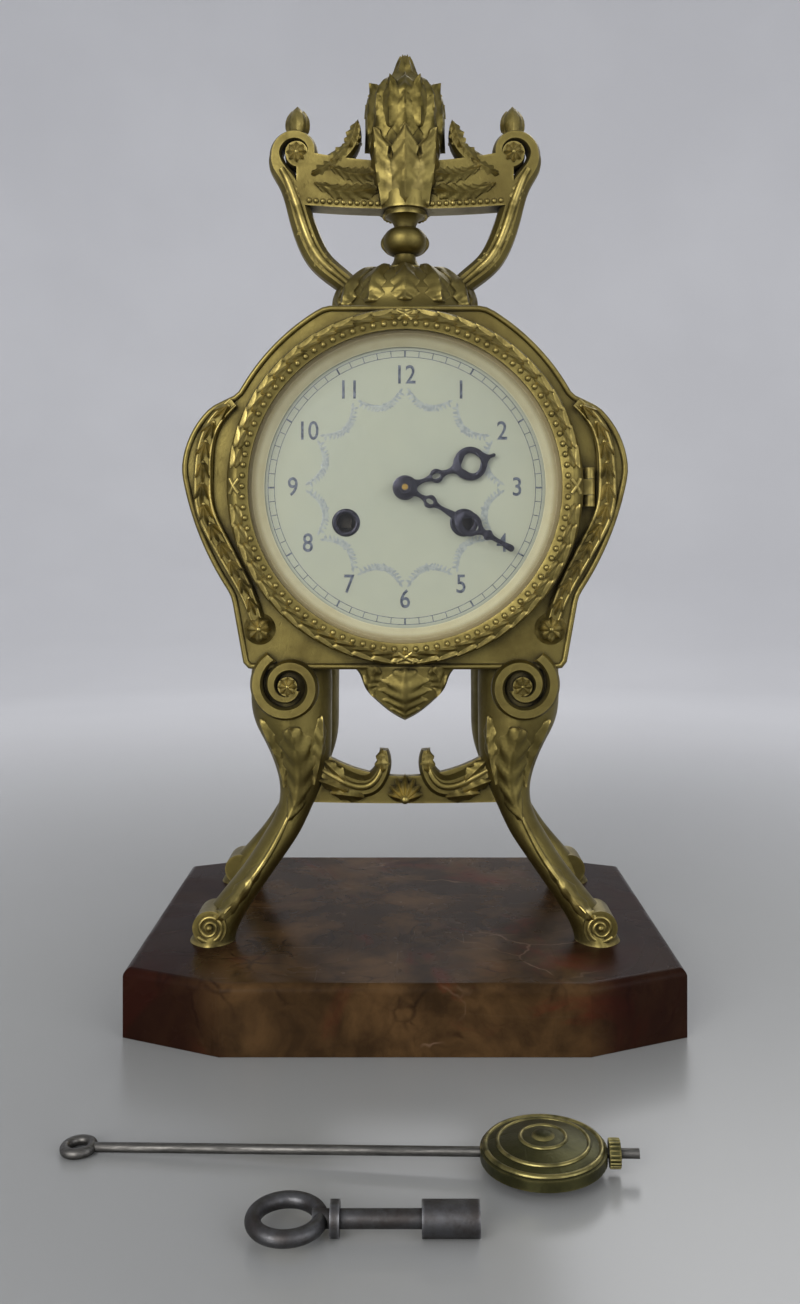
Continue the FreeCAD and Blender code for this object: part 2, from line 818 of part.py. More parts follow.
def make_leg_screws():
    screws = []
    recess_depth = mm.base_height + mm.screw_foot_grip - mm.screw_length
    for side in (1, -1):
        for rear in (False, True):
            places = ((foot_x, foot_y, recess_depth, UP),
                      (mm.leg_head_offset, head_y, case_floor + mm.band_wall, -UP))
            for x, y, z, direction in places:
                depth = 2 * case_middle - y if rear else y
                screws.append(screw_shape(Vector(x * side, depth, z), direction))
    add_shape("leg_screws", Part.makeCompound(screws))


# Apron between the front legs, and the leaf under the dial

# Middle line of an S-scroll in shares of the apron's half width and height, and its half widths
APRON_TIP_SHARES = ((0.93, 0.94), (0.70, 0.68), (0.50, 0.48), (0.33, 0.47), (0.215, 0.74), (0.20, 1.14))
APRON_BAND_SHARES = (0.8, 1.0, 0.35)
# Heights of the arched web's lower and upper edge at its ends and in the middle, and its thickness
APRON_LOW_SHARES = (0.15, 0.12)
APRON_HIGH_SHARES = (1.40, 0.63)
APRON_WEB_SHARE = 0.6
# Share of the way from the legs' heads to their feet at which the apron meets them
APRON_REACH_SHARE = 0.1
PENDANT_SHARES = ((1.00, 0.00), (0.74, 0.20), (0.66, 0.42), (0.50, 0.62), (0.26, 0.84), (0.00, 1.00))
PENDANT_LAYER_SHARES = ((0.0, 1.0), (0.6, 0.94), (1.0, 0.5))
PENDANT_SUNK_SHARE = 0.75


def make_apron():
    """Two mirrored S-scrolls that rise to tips either side of a notch, over an arched bar."""
    legs = [doc.getObject(f"front_{side}_leg").Shape for side in ("right", "left")]
    bottom = mm.base_height + mm.apron_rise
    back = legs_middle_depth() + mm.apron_thickness / 2
    front = back - mm.apron_thickness
    path = [(x * mm.apron_half_width, bottom + z * mm.apron_height) for x, z in APRON_TIP_SHARES]
    widths = tapered(len(path), *(mm.apron_scroll_band * share for share in APRON_BAND_SHARES))
    right = scroll(path, widths, back, front)
    low_end, low_middle = (bottom + mm.apron_height * share for share in APRON_LOW_SHARES)
    high_end, high_middle = (bottom + mm.apron_height * share for share in APRON_HIGH_SHARES)
    arch = bowed_strip(mm.apron_half_width, back, (low_end, low_middle), (high_end, high_middle))
    web = arch.extrude(BACK * -(mm.apron_thickness * APRON_WEB_SHARE))
    apron = fused([web, right, mirrored(right, RIGHT)]).cut(legs)
    largest = max(apron.Solids, key=lambda solid: solid.Volume)
    add_shape("front_apron", largest)


def legs_middle_depth():
    return head_y + (foot_y - head_y) * APRON_REACH_SHARE


def make_pendant():
    back = -mm.case_front + mm.pendant_thickness * PENDANT_SUNK_SHARE
    wires = []
    for depth_share, share in PENDANT_LAYER_SHARES:
        depth = back - mm.pendant_thickness * depth_share
        right = [Vector(x * mm.pendant_half_width * share, depth, case_floor - z * mm.pendant_height * share)
                 for x, z in PENDANT_SHARES]
        left = [Vector(-point.x, point.y, point.z) for point in reversed(right)]
        edges = [spline(right).toShape(), spline(left).toShape(), Part.makeLine(left[-1], right[0])]
        wires.append(Part.Wire(edges))
    add_shape("pendant_leaf", Part.makeLoft(wires, True, True))


# Case: front panel, side band and rear panel share one outline

# Corner, or corner and middle of the arc to it, in shares of the half width and of the rise or drop
CASE_SHARES = (
    ((0.750, 0.511), (0.601, 0.768)),
    ((0.870, 0.440), None),
    ((1.000, 0.090), (0.957, 0.300)),
    ((0.775, -0.600), (0.925, -0.250)),
)


def case_corners():
    """The case's outline from the dial's axis, as sketch corners, clockwise from the top right."""

    def placed(share, side):
        reach = cell.case_rise if share[1] > 0 else cell.case_drop
        return cell.case_half_width * (share[0] * side), reach * share[1]

    right = [(cell.case_top_half_width, cell.case_rise)]
    for share, middle in CASE_SHARES:
        corner = placed(share, 1)
        right.append(corner if middle is None else (*corner, placed(middle, 1)))
    right.append((cell.case_floor_half_width, -cell.case_drop))
    left = [(-cell.case_floor_half_width, -cell.case_drop)]
    middles = [middle for _, middle in CASE_SHARES] + [None]
    for index in range(len(CASE_SHARES) - 1, -1, -1):
        corner = placed(CASE_SHARES[index][0], -1)
        middle = middles[index + 1]
        left.append(corner if middle is None else (*corner, placed(middle, -1)))
    left.append((-cell.case_top_half_width, cell.case_rise, placed(CASE_SHARES[0][1], -1)))
    return right + left


def new_case_plate(label, front, thickness):
    body = new_body(label)
    sketch = new_sketch(body, label + "_outline", "XZ_Plane", y=cell.dial_height, z=-front)
    add_outline(sketch, case_corners())
    return body, add_pad(body, sketch, thickness, reverse=True)


def add_round_window(body, name, radius):
    sketch = new_sketch(body, name, "XZ_Plane", y=cell.dial_height)
    add_circle(sketch, ZERO, ZERO, radius)
    add_through_pocket(body, sketch)


def make_case():
    front, _ = new_case_plate("front_panel", -cell.case_front, cell.panel_thickness)
    add_round_window(front, "front_window", cell.front_hole_radius)

    rear, _ = new_case_plate("rear_panel", cell.case_back - cell.panel_thickness, cell.panel_thickness)
    add_round_window(rear, "rear_window", cell.rear_hole_radius)
    add_hinge(rear, back_hinge(), fixed=True)

    make_half_band("right_side_band", 1)
    make_half_band("left_side_band", -1)


def make_half_band(label, side):
    """One of the two castings that meet on the case's middle line and make its sides, roof and floor."""
    band, solid = new_case_plate(label, panel_back_cell,
                                 cell.case_back + cell.case_front - cell.panel_thickness * 2)
    doc.recompute()
    ends = [f"Face{number}" for number, face in enumerate(solid.Shape.Faces, 1)
            if face.BoundBox.YLength < mm.part_gap]
    hollow = band.newObject("PartDesign::Thickness", label + "_hollow")
    hollow.Base = (solid, ends)
    hollow.setExpression("Value", cell.band_wall.text)
    hollow.Reversed = True
    hollow.Join = "Intersection"
    floor = new_sketch(band, label + "_floor_holes", "XY_Plane", z=cell.dial_height - cell.case_drop)
    middle = pendulum_depth_cell()
    half_slot = cell.pendulum_slot_half_width
    slot_front = middle - cell.pendulum_slot_depth / 2
    slot_back = middle + cell.pendulum_slot_depth / 2
    add_outline(floor, [(half_slot, slot_front), (half_slot, slot_back),
                        (-half_slot, slot_back), (-half_slot, slot_front)])
    head = cell.leg_head_setback - cell.case_front
    for depth in (head, case_middle_cell * 2 - head):
        add_circle(floor, cell.leg_head_offset * side, depth, cell.screw_radius + cell.fit_clearance)
    floor_cut = band.newObject("PartDesign::Pocket", label + "_floor_cut")
    floor_cut.Profile = floor
    floor_cut.setExpression("Length", (cell.band_wall + cell.cut_overrun).text)
    floor_cut.Reversed = True
    top = new_sketch(band, label + "_tie_hole", "XY_Plane", z=case_top_cell)
    add_circle(top, ZERO, case_middle_cell, cell.tie_rod_radius + cell.fit_clearance)
    top_cut = band.newObject("PartDesign::Pocket", label + "_tie_cut")
    top_cut.Profile = top
    top_cut.setExpression("Length", (cell.band_wall + cell.cut_overrun).text)
    other_half = new_sketch(band, label + "_other_half", "XZ_Plane", y=cell.dial_height)
    beyond = (cell.case_half_width + cell.cut_overrun) * -side
    above = cell.case_rise + cell.cut_overrun
    below = -cell.case_drop - cell.cut_overrun
    add_outline(other_half, [(ZERO, above), (beyond, above), (beyond, below), (ZERO, below)])
    add_through_pocket(band, other_half)


def pendulum_depth_cell():
    return plate_back_cell + cell.cock_standoff + cell.cock_thickness + cell.chop_thickness / 2


# Shoulder scrolls beside the bezel

SHOULDER_SHARES = ((0.659, -0.79), (0.713, -0.59), (0.812, -0.36), (0.905, -0.125), (0.912, 0.09),
                   (0.903, 0.232), (0.870, 0.348), (0.826, 0.42), (0.775, 0.473))
SHOULDER_BAND_SHARES = (0.7, 1.0, 0.5)
SHOULDER_BOSS_SHARE = 0.6


def make_shoulder_scrolls():
    path = [(x * mm.case_half_width, mm.dial_height + z * mm.case_rise) for x, z in SHOULDER_SHARES]
    half = mm.shoulder_band / 2
    widths = tapered(len(path), *(half * share for share in SHOULDER_BAND_SHARES))
    back = -mm.case_front
    front = back - mm.shoulder_relief
    band = scroll(path, widths, back, front)
    foot = Vector(path[0][0], back, path[0][1])
    boss = Part.makeCone(mm.shoulder_volute_radius, mm.shoulder_volute_radius * SHOULDER_BOSS_SHARE,
                         mm.shoulder_relief, foot, -BACK)
    shape = fused([band, boss])
    add_shape("right_shoulder_scroll", shape)
    add_shape("left_shoulder_scroll", mirrored(shape, RIGHT))


# Crest: dome, baluster, gallery and finial on one tie rod

dome_base = case_top
baluster_base = dome_base + mm.dome_height
rail_base = baluster_base + mm.baluster_height
finial_base = rail_base + mm.gallery_rail_height


# Heights on the dome: top of its rim, middle of the hollow, shoulder, middle of the swell
DOME_HEIGHT_SHARES = (0.12, 0.26, 0.5, 0.86)
# How far the middles of the hollow and of the swell stand out between the radii at their ends
DOME_BULGE_SHARES = (0.3, 0.68)
# Heights on the baluster: top of its foot, lower hollow, neck, knob, neck, upper hollow, cap
BALUSTER_HEIGHT_SHARES = (0.08, 0.18, 0.30, 0.52, 0.74, 0.83, 0.92)
BALUSTER_HOLLOW_SHARE = 0.2


def make_dome_and_baluster():
    bore = cell.tie_rod_radius + cell.fit_clearance
    base = case_top_cell
    top = base + cell.dome_height
    rim = cell.dome_radius
    shoulder = cell.dome_shoulder_radius
    crown = cell.dome_top_radius
    rim_top, hollow, turn, swell = (base + cell.dome_height * share for share in DOME_HEIGHT_SHARES)
    hollow_radius = shoulder + (rim - shoulder) * DOME_BULGE_SHARES[0]
    swell_radius = crown + (shoulder - crown) * DOME_BULGE_SHARES[1]
    new_upright_turning("top_dome", [
        (bore, base), (rim, base), (rim, rim_top), (shoulder, turn, (hollow_radius, hollow)),
        (crown, top, (swell_radius, swell)), (bore, top)], case_middle_cell)
    base = top
    top = base + cell.baluster_height
    foot = cell.baluster_foot_radius
    neck = cell.baluster_neck_radius
    levels = [base + cell.baluster_height * share for share in BALUSTER_HEIGHT_SHARES]
    foot_top, low_hollow, low_neck, knob, high_neck, high_hollow, cap = levels
    hollow_radius = neck + (foot - neck) * BALUSTER_HOLLOW_SHARE
    new_upright_turning("crest_baluster", [
        (bore, base), (foot, base), (foot, foot_top), (neck, low_neck, (hollow_radius, low_hollow)),
        (neck, high_neck, (cell.baluster_radius, knob)), (foot, cap, (hollow_radius, high_hollow)),
        (foot, top), (bore, top)], case_middle_cell)


# Bracket from the dome to the volute, in shares of the half span and of the height under the rail
BRACKET_SHARES = ((0.46, -1.29), (0.61, -1.07), (0.78, -0.81), (0.90, -0.43), (0.98, 0.00), (1.08, 0.50))
LEAF_SHARES = ((0.86, 0.60), (0.66, 0.82), (0.50, 1.08), (0.43, 1.44))
# Half widths of bracket, curl and leaf at their start, middle and end
BRACKET_BAND_SHARES = (0.75, 0.95, 0.5)
CURL_BAND_SHARES = (0.5, 0.42, 0.2)
LEAF_BAND_SHARES = (0.7, 0.7, 0.15)
CURL_START = -30
CURL_TURNS = 1.2
CURL_STEPS = 14
CURL_EYE_SHARE = 0.5
# Foot of the bud over the curl's centre, its foot radius, and the height of its belly
BUD_RISE_SHARE = 0.8
BUD_FOOT_SHARE = 0.55
BUD_BELLY_SHARE = 0.4
# Height of the rail's lower edge at its ends, and of its upper edge in the middle
RAIL_LOW_SHARE = 0.08
RAIL_HIGH_SHARE = 0.80


def make_gallery():
    back = case_middle + mm.gallery_thickness / 2
    front = case_middle - mm.gallery_thickness / 2
    span = mm.gallery_half_span
    rise = mm.gallery_rail_height

    unit = mm.baluster_height
    bracket = [(x * span, rail_base + z * (unit if z < 0 else rise)) for x, z in BRACKET_SHARES]
    centre = (span, rail_base + rise + mm.gallery_volute_rise - mm.gallery_volute_radius / 2)
    curl = volute(centre, mm.gallery_volute_radius, CURL_START, CURL_TURNS, VOLUTE_END_SHARE, CURL_STEPS)
    leaf = [(x * span, rail_base + z * rise) for x, z in LEAF_SHARES]
    half = mm.gallery_band / 2
    right = []
    for path, shares in ((bracket + curl[:2], BRACKET_BAND_SHARES), (curl, CURL_BAND_SHARES),
                         (leaf, LEAF_BAND_SHARES)):
        widths = tapered(len(path), *(half * share for share in shares))
        right.append(scroll(path, widths, back, front, TWO_FACED_SHARES))
    eye_radius = mm.gallery_volute_radius * CURL_EYE_SHARE
    right.append(rod(eye_radius, Vector(centre[0], front, centre[1]), Vector(centre[0], back, centre[1])))
    foot = Vector(0, 0, 0)
    foot_edge = Vector(mm.gallery_bud_radius * BUD_FOOT_SHARE, 0, 0)
    belly = Vector(mm.gallery_bud_radius, 0, mm.gallery_bud_height * BUD_BELLY_SHARE)
    tip = Vector(0, 0, mm.gallery_bud_height)
    flank = spline([foot_edge, belly, tip]).toShape()
    profile = Part.Face(Part.Wire([Part.makeLine(foot, foot_edge), flank, Part.makeLine(tip, foot)]))
    bud = profile.revolve(foot, UP, 360)
    bud.translate(Vector(centre[0], case_middle, centre[1] + mm.gallery_volute_radius * BUD_RISE_SHARE))
    right.append(bud)

    rail_face = bowed_strip(span, front, (rail_base + rise * RAIL_LOW_SHARE, rail_base),
                            (rail_base + rise, rail_base + rise * RAIL_HIGH_SHARE))
    rail = rail_face.extrude(BACK * mm.gallery_thickness)
    boss = rod(mm.finial_foot_radius, Vector(0, case_middle, rail_base), Vector(0, case_middle, finial_base))
    left = [mirrored(shape, RIGHT) for shape in right]
    bore = rod(mm.tie_rod_radius + mm.fit_clearance, Vector(0, case_middle, rail_base - mm.cut_overrun),
               Vector(0, case_middle, finial_base + mm.cut_overrun))
    dome = doc.getObject("top_dome").Shape
    gallery = rail.fuse([boss] + right + left).cut([bore, dome])
    add_shape("crest_gallery", max(gallery.Solids, key=lambda solid: solid.Volume))


# Height and radius of the finial's sections
FINIAL_SHARES = ((0.00, 0.80), (0.12, 0.93), (0.28, 1.00), (0.44, 1.00), (0.56, 0.88), (0.66, 0.68),
                 (0.76, 0.44), (0.86, 0.24), (0.95, 0.10), (1.00, 0.05))
FINIAL_LOBES = 8
FINIAL_LOBE_SHARE = 0.10
NUT_SIDES = 6


def make_finial():
    wires = []
    for height_share, radius_share in FINIAL_SHARES:
        points = []
        for index in range(2 * FINIAL_LOBES):
            angle = math.pi * index / FINIAL_LOBES
            radius = mm.finial_radius * radius_share * (1 - FINIAL_LOBE_SHARE * (index % 2))
            points.append(Vector(radius * math.cos(angle), case_middle + radius * math.sin(angle),
                                 finial_base + mm.finial_height * height_share))
        curve = Part.BSplineCurve()
        curve.interpolate(points, PeriodicFlag=True)
        wires.append(Part.Wire(curve.toShape()))
    bud = Part.makeLoft(wires, True, False)
    nut_bottom = case_top - mm.band_wall - mm.tie_nut_height
    tie = rod(mm.tie_rod_radius, Vector(0, case_middle, nut_bottom - mm.cut_overrun),
              Vector(0, case_middle, finial_base + mm.cut_overrun))
    add_shape("crest_finial", fused([bud, tie]))
    corners = [step_from((0, case_middle), mm.tie_nut_radius, 360 * index / NUT_SIDES)
               for index in range(NUT_SIDES + 1)]
    outline = Part.makePolygon([Vector(x, y, nut_bottom) for x, y in corners])
    nut = Part.Face(outline).extrude(UP * mm.tie_nut_height)
    bore = rod(mm.tie_rod_radius + mm.fit_clearance, Vector(0, case_middle, nut_bottom - mm.cut_overrun),
               Vector(0, case_middle, nut_bottom + mm.tie_nut_height + mm.cut_overrun))
    add_shape("crest_nut", nut.cut(bore))


# Hinges: knuckles about an upright pin beside the dial's axis


def bezel_hinge():
    """Where the pin is, and each side's leaf: how far it reaches inwards, its front and its back."""
    depth = -(cell.case_front + cell.seat_height + cell.part_gap / 2)
    reach = (cell.hinge_offset - cell.bezel_radius) * 2
    fixed_front = depth + cell.part_gap
    moving_back = depth - cell.part_gap / 2
    return SimpleNamespace(x=cell.hinge_offset, depth=depth,
                           fixed=(reach, fixed_front, fixed_front + cell.hinge_leaf_thickness),
                           moving=(reach, moving_back - cell.hinge_leaf_thickness, moving_back))


def back_hinge():
    """The same for the back door, whose fixed leaf stands on the rear panel."""
    depth = cell.case_back + cell.part_gap + cell.hinge_knuckle_radius
    half_leaf = cell.hinge_leaf_thickness / 2
    reach = (cell.back_hinge_offset - cell.back_door_radius) * 2
    leaf_root = cell.case_back - cell.panel_thickness / 2
    return SimpleNamespace(x=cell.back_hinge_offset, depth=depth,
                           fixed=(cell.hinge_knuckle_radius, leaf_root, depth),
                           moving=(reach, depth - half_leaf, depth + half_leaf))


def add_hinge(body, hinge, fixed):
    """Knuckles and leaves: two outer ones on the fixed side, a middle one on the moving side."""
    inner = cell.hinge_knuckle_half_length
    outer = inner + cell.hinge_end_gap
    if fixed:
        spans = ((-cell.hinge_half_length, -outer), (outer, cell.hinge_half_length))
    else:
        spans = ((-inner, inner),)
    reach, front, back = hinge.fixed if fixed else hinge.moving
    leaf_end = hinge.x - reach
    for number, (low, high) in enumerate(spans):
        name = f"{body.Name}_hinge_{number}"
        leaf = new_sketch(body, name + "_leaf", "XY_Plane", z=cell.dial_height + low)
        add_outline(leaf, [(hinge.x, front), (hinge.x, back), (leaf_end, back), (leaf_end, front)])
        add_pad(body, leaf, high - low)
        knuckle = new_sketch(body, name + "_knuckle", "XY_Plane", z=cell.dial_height + low)
        add_circle(knuckle, hinge.x, hinge.depth, cell.hinge_knuckle_radius)
        add_pad(body, knuckle, high - low)
    bore = new_sketch(body, f"{body.Name}_hinge_bore", "XY_Plane", z=cell.dial_height)
    add_circle(bore, hinge.x, hinge.depth, cell.hinge_pin_radius + cell.fit_clearance)
    add_through_pocket(body, bore)


def make_hinge_pins():
    pins = []
    for hinge in (bezel_hinge(), back_hinge()):
        foot = Vector(float(hinge.x), float(hinge.depth), mm.dial_height - mm.hinge_half_length)
        pins.append(rod(mm.hinge_pin_radius, foot, foot + UP * (2 * mm.hinge_half_length)))
    add_shape("hinge_pins", Part.makeCompound(pins))


# Bezel: fixed seat, hinged ring, glass and sight ring

# Straight part of the bezel's edge, and the middle of its round: depth behind the front, and way outwards
BEZEL_EDGE_SHARE = 0.25
BEZEL_ROUND_SHARES = (0.2, 0.7)


def make_bezel():
    seat_back = -cell.case_front
    seat_front = seat_back - cell.seat_height
    seat = new_dial_axis_turning("bezel_seat", [
        (seat_back, cell.seat_inner_radius), (seat_back, cell.seat_outer_radius),
        (seat_front, cell.seat_outer_radius), (seat_front, cell.seat_inner_radius)])
    add_hinge(seat, bezel_hinge(), fixed=True)

    back = seat_front - cell.part_gap
    front = back - cell.bezel_height
    flange_back = back - cell.sight_flange_thickness
    glass_back = flange_back - cell.sight_flange_thickness
    glass_front = glass_back - cell.glass_thickness
    crest = cell.bezel_lip_radius + (cell.bezel_radius - cell.bezel_lip_radius) / 2
    bulge = (front + cell.bezel_height * BEZEL_ROUND_SHARES[0],
             crest + (cell.bezel_radius - crest) * BEZEL_ROUND_SHARES[1])
    ring = new_dial_axis_turning("bezel_ring", [
        (back, cell.bezel_rabbet_radius), (back, cell.bezel_radius),
        (back - cell.bezel_height * BEZEL_EDGE_SHARE, cell.bezel_radius),
        (front, crest, bulge),
        (glass_front - cell.bezel_lip_thickness, cell.bezel_lip_radius),
        (glass_front, cell.bezel_lip_radius), (glass_front, cell.bezel_rabbet_radius)])
    add_hinge(ring, bezel_hinge(), fixed=False)

    rim = cell.bezel_rabbet_radius - cell.glass_clearance
    new_dial_axis_turning("bezel_glass", [
        (glass_back, ZERO), (glass_back, rim), (glass_front, rim), (glass_front, ZERO)])
    dial_edge = panel_back_cell - cell.dial_thickness - cell.sight_dial_gap
    new_dial_axis_turning("sight_ring", [
        (glass_back, cell.sight_front_radius), (glass_back, rim), (flange_back, rim),
        (flange_back, cell.sight_outer_radius), (dial_edge, cell.sight_outer_radius),
        (dial_edge, cell.sight_inner_radius)])


def make_back_door():
    front = cell.case_back + cell.part_gap
    back = front + cell.back_door_thickness
    rim_back = front + cell.back_door_rim_height
    rim = cell.back_door_radius
    inner = rim - cell.back_door_rim_width
    door = new_dial_axis_turning("back_door", [
        (front, ZERO), (front, rim), (rim_back, rim), (rim_back, inner), (back, inner), (back, ZERO)])
    hole = new_sketch(door, "sound_hole", "XZ_Plane", y=cell.dial_height)
    add_circle(hole, ZERO, cell.sound_hole_circle, cell.sound_hole_radius)
    cut = add_through_pocket(door, hole)
    doc.recompute()
    ring = door.newObject("PartDesign::PolarPattern", "sound_holes")
    ring.Originals = [cut]
    ring.Axis = (hole, ["N_Axis"])
    ring.Angle = 360
    ring.Occurrences = SOUND_HOLES
    door.Tip = ring
    knob = new_sketch(door, "back_knob", "XZ_Plane", y=cell.dial_height, z=-back)
    knob_x = cell.back_knob_radius * 2 - inner
    add_circle(knob, knob_x, ZERO, cell.back_knob_radius)
    add_pad(door, knob, cell.back_knob_height, reverse=True)
    add_hinge(door, back_hinge(), fixed=False)


# Dial, dial plate and hands


def make_dial():
    winding_x = cell.winding_spacing / 2
    plates = (("dial", cell.dial_radius, panel_back_cell - cell.dial_thickness, cell.dial_thickness),
              ("dial_plate", cell.dial_plate_radius, panel_back_cell, cell.dial_plate_thickness))
    for label, radius, front, thickness in plates:
        body = new_body(label)
        sketch = new_sketch(body, label + "_outline", "XZ_Plane", y=cell.dial_height, z=-front)
        add_circle(sketch, ZERO, ZERO, radius)
        add_circle(sketch, ZERO, ZERO, cell.dial_centre_hole)
        for side in (1, -1):
            add_circle(sketch, winding_x * side, -cell.winding_drop, cell.winding_hole_radius)
        add_pad(body, sketch, thickness, reverse=True)


# Place of each hand's open ring along its length, and the width of a blade there
HOUR_RING_SHARE = 0.77
MINUTE_RING_SHARE = 0.57
HAND_TAPER_SHARE = 0.7


def hand_shape(length, ring_share, bore, back, degrees):
    """A pierced hand: hub, tapering blade with an open ring, pointed tip; it points up before turning."""
    front = back - mm.hand_thickness
    hub_centre = on_dial(0, front, 0)
    hub = rod(mm.hand_hub_radius, hub_centre, hub_centre + BACK * mm.hand_thickness)
    ring_rise = length * ring_share
    ring_centre = on_dial(0, front, ring_rise)
    ring = rod(mm.hand_ring_radius, ring_centre, ring_centre + BACK * mm.hand_thickness)
    half = mm.hand_width / 2
    waist = half * HAND_TAPER_SHARE
    corners = [on_dial(-half, front, 0), on_dial(-waist, front, ring_rise), on_dial(0, front, length),
               on_dial(waist, front, ring_rise), on_dial(half, front, 0), on_dial(-half, front, 0)]
    blade = Part.Face(Part.makePolygon(corners)).extrude(BACK * mm.hand_thickness)
    overrun = BACK * mm.cut_overrun
    hub_hole = rod(bore, hub_centre - overrun, hub_centre + BACK * mm.hand_thickness + overrun)
    ring_hole = rod(mm.hand_ring_radius - mm.hand_width / 2, ring_centre - overrun,
                    ring_centre + BACK * mm.hand_thickness + overrun)
    shape = fused([hub, ring, blade]).cut([hub_hole, ring_hole])
    shape.rotate(on_dial(0, 0, 0), BACK, degrees)
    return shape


def make_hands():
    hour_back = dial_front - mm.hour_hand_lift
    add_shape("hour_hand", hand_shape(mm.hour_hand_length, HOUR_RING_SHARE,
                                      mm.hour_pipe_radius + mm.fit_clearance, hour_back, HOUR_HAND_TURN))
    minute_back = dial_front - mm.minute_hand_lift
    add_shape("minute_hand", hand_shape(mm.minute_hand_length, MINUTE_RING_SHARE,
                                        mm.cannon_pipe_radius + mm.fit_clearance, minute_back,
                                        MINUTE_HAND_TURN))
    nut_back = minute_back - mm.hand_thickness
    nut = rod(mm.hand_nut_radius, on_dial(0, nut_back, 0), on_dial(0, nut_back - mm.hand_nut_height, 0))
    bore = rod(mm.centre_arbor_radius + mm.fit_clearance, on_dial(0, nut_back + mm.cut_overrun, 0),
               on_dial(0, nut_back - mm.hand_nut_height - mm.cut_overrun, 0))
    add_shape("hand_nut", nut.cut(bore))


# Movement frame: two plates and four pillars


def fixed_cell(number):
    """A place worked out from the train's modules and teeth."""
    return Cell(f"{number:.6f}", number)


def make_plates():
    pivots = [(place, mm.pivot_radius) for place in (intermediate_place, second_place, pin_wheel_place)]
    fine_places = (third_place, escape_place, locking_place, fly_place)
    pivots += [(place, mm.fine_pivot_radius) for place in fine_places]
    pillars = [(place, mm.pillar_neck_radius) for place in pillar_places]
    winding = [(going_place, mm.winding_arbor_radius), (strike_place, mm.winding_arbor_radius)]
    front_only = [(hammer_place, mm.pivot_radius), (anchor_place, mm.fine_pivot_radius),
                  (centre_place, mm.centre_arbor_radius)]
    back_only = [(hammer_place, mm.arbor_radius), (anchor_place, mm.arbor_radius),
                 (centre_place, mm.pivot_radius)]
    plates = (("front_plate", plate_front_cell, front_only), ("back_plate", train_back_cell, back_only))
    for label, front, holes in plates:
        body = new_body(label)
        outline = new_sketch(body, label + "_outline", "XZ_Plane", y=cell.dial_height, z=-front)
        add_circle(outline, ZERO, ZERO, cell.plate_radius)
        add_pad(body, outline, cell.plate_thickness, reverse=True)
        holes_sketch = new_sketch(body, label + "_holes", "XZ_Plane", y=cell.dial_height)
        for (x, rise), radius in pivots + pillars + winding + holes:
            add_circle(holes_sketch, fixed_cell(x), fixed_cell(rise), fixed_cell(radius + mm.fit_clearance))
        add_through_pocket(body, holes_sketch)
        if label == "front_plate":
            stud = new_sketch(body, "minute_wheel_stud", "XZ_Plane", y=cell.dial_height, z=-front)
            add_circle(stud, ZERO, fixed_cell(minute_wheel_place[1]), cell.arbor_radius)
            add_pad(body, stud, cell.motion_gap - cell.part_gap)


def make_pillars():
    pillars = []
    wide = mm.pillar_radius
    neck = mm.pillar_neck_radius
    lengths = ((wide, dial_plate_back, plate_front), (neck, plate_front, train_front),
               (wide, train_front, train_back), (neck, train_back, plate_back),
               (wide, plate_back, plate_back + mm.pillar_end_height))
    for x, rise in pillar_places:
        pillars.append(fused([rod(radius, on_dial(x, start, rise), on_dial(x, end, rise))
                              for radius, start, end in lengths]))
    add_shape("plate_pillars", Part.makeCompound(pillars))


# Wheels and arbors


def arbor(place, radius, pivot):
    """A turned arbor between the plates with a pivot in each."""
    x, rise = place
    shoulder_front = train_front + mm.arbor_end_shake
    shoulder_back = train_back - mm.arbor_end_shake
    return [rod(radius, on_dial(x, shoulder_front, rise), on_dial(x, shoulder_back, rise)),
            rod(pivot, on_dial(x, plate_front + mm.arbor_end_shake, rise), on_dial(x, shoulder_front, rise)),
            rod(pivot, on_dial(x, shoulder_back, rise), on_dial(x, plate_back - mm.arbor_end_shake, rise))]


def wheel(place, teeth, module, setback, thickness, partner):
    """A wheel on its arbor, with a tooth on the line to its partner's arbor."""
    centre = on_dial(place[0], train_front + setback, place[1])
    return gear(teeth, module, centre, thickness, turn_to(place, partner))


def pinion(place, leaves, module, setback, thickness, driver):
    """A pinion a little longer than the wheel that drives it, with a gap on the line to that wheel."""
    centre = on_dial(place[0], train_front + setback - mm.pinion_overhang, place[1])
    turn = turn_to(place, driver) + math.pi / leaves
    return gear(leaves, module, centre, thickness + 2 * mm.pinion_overhang, turn, leaves=True)


# Root and tip of a ratchet tooth, in shares of its pitch, and the clicks' place in degrees below the axis
RATCHET_SHARES = (0.1, 0.9)
CLICK_TURN = 30


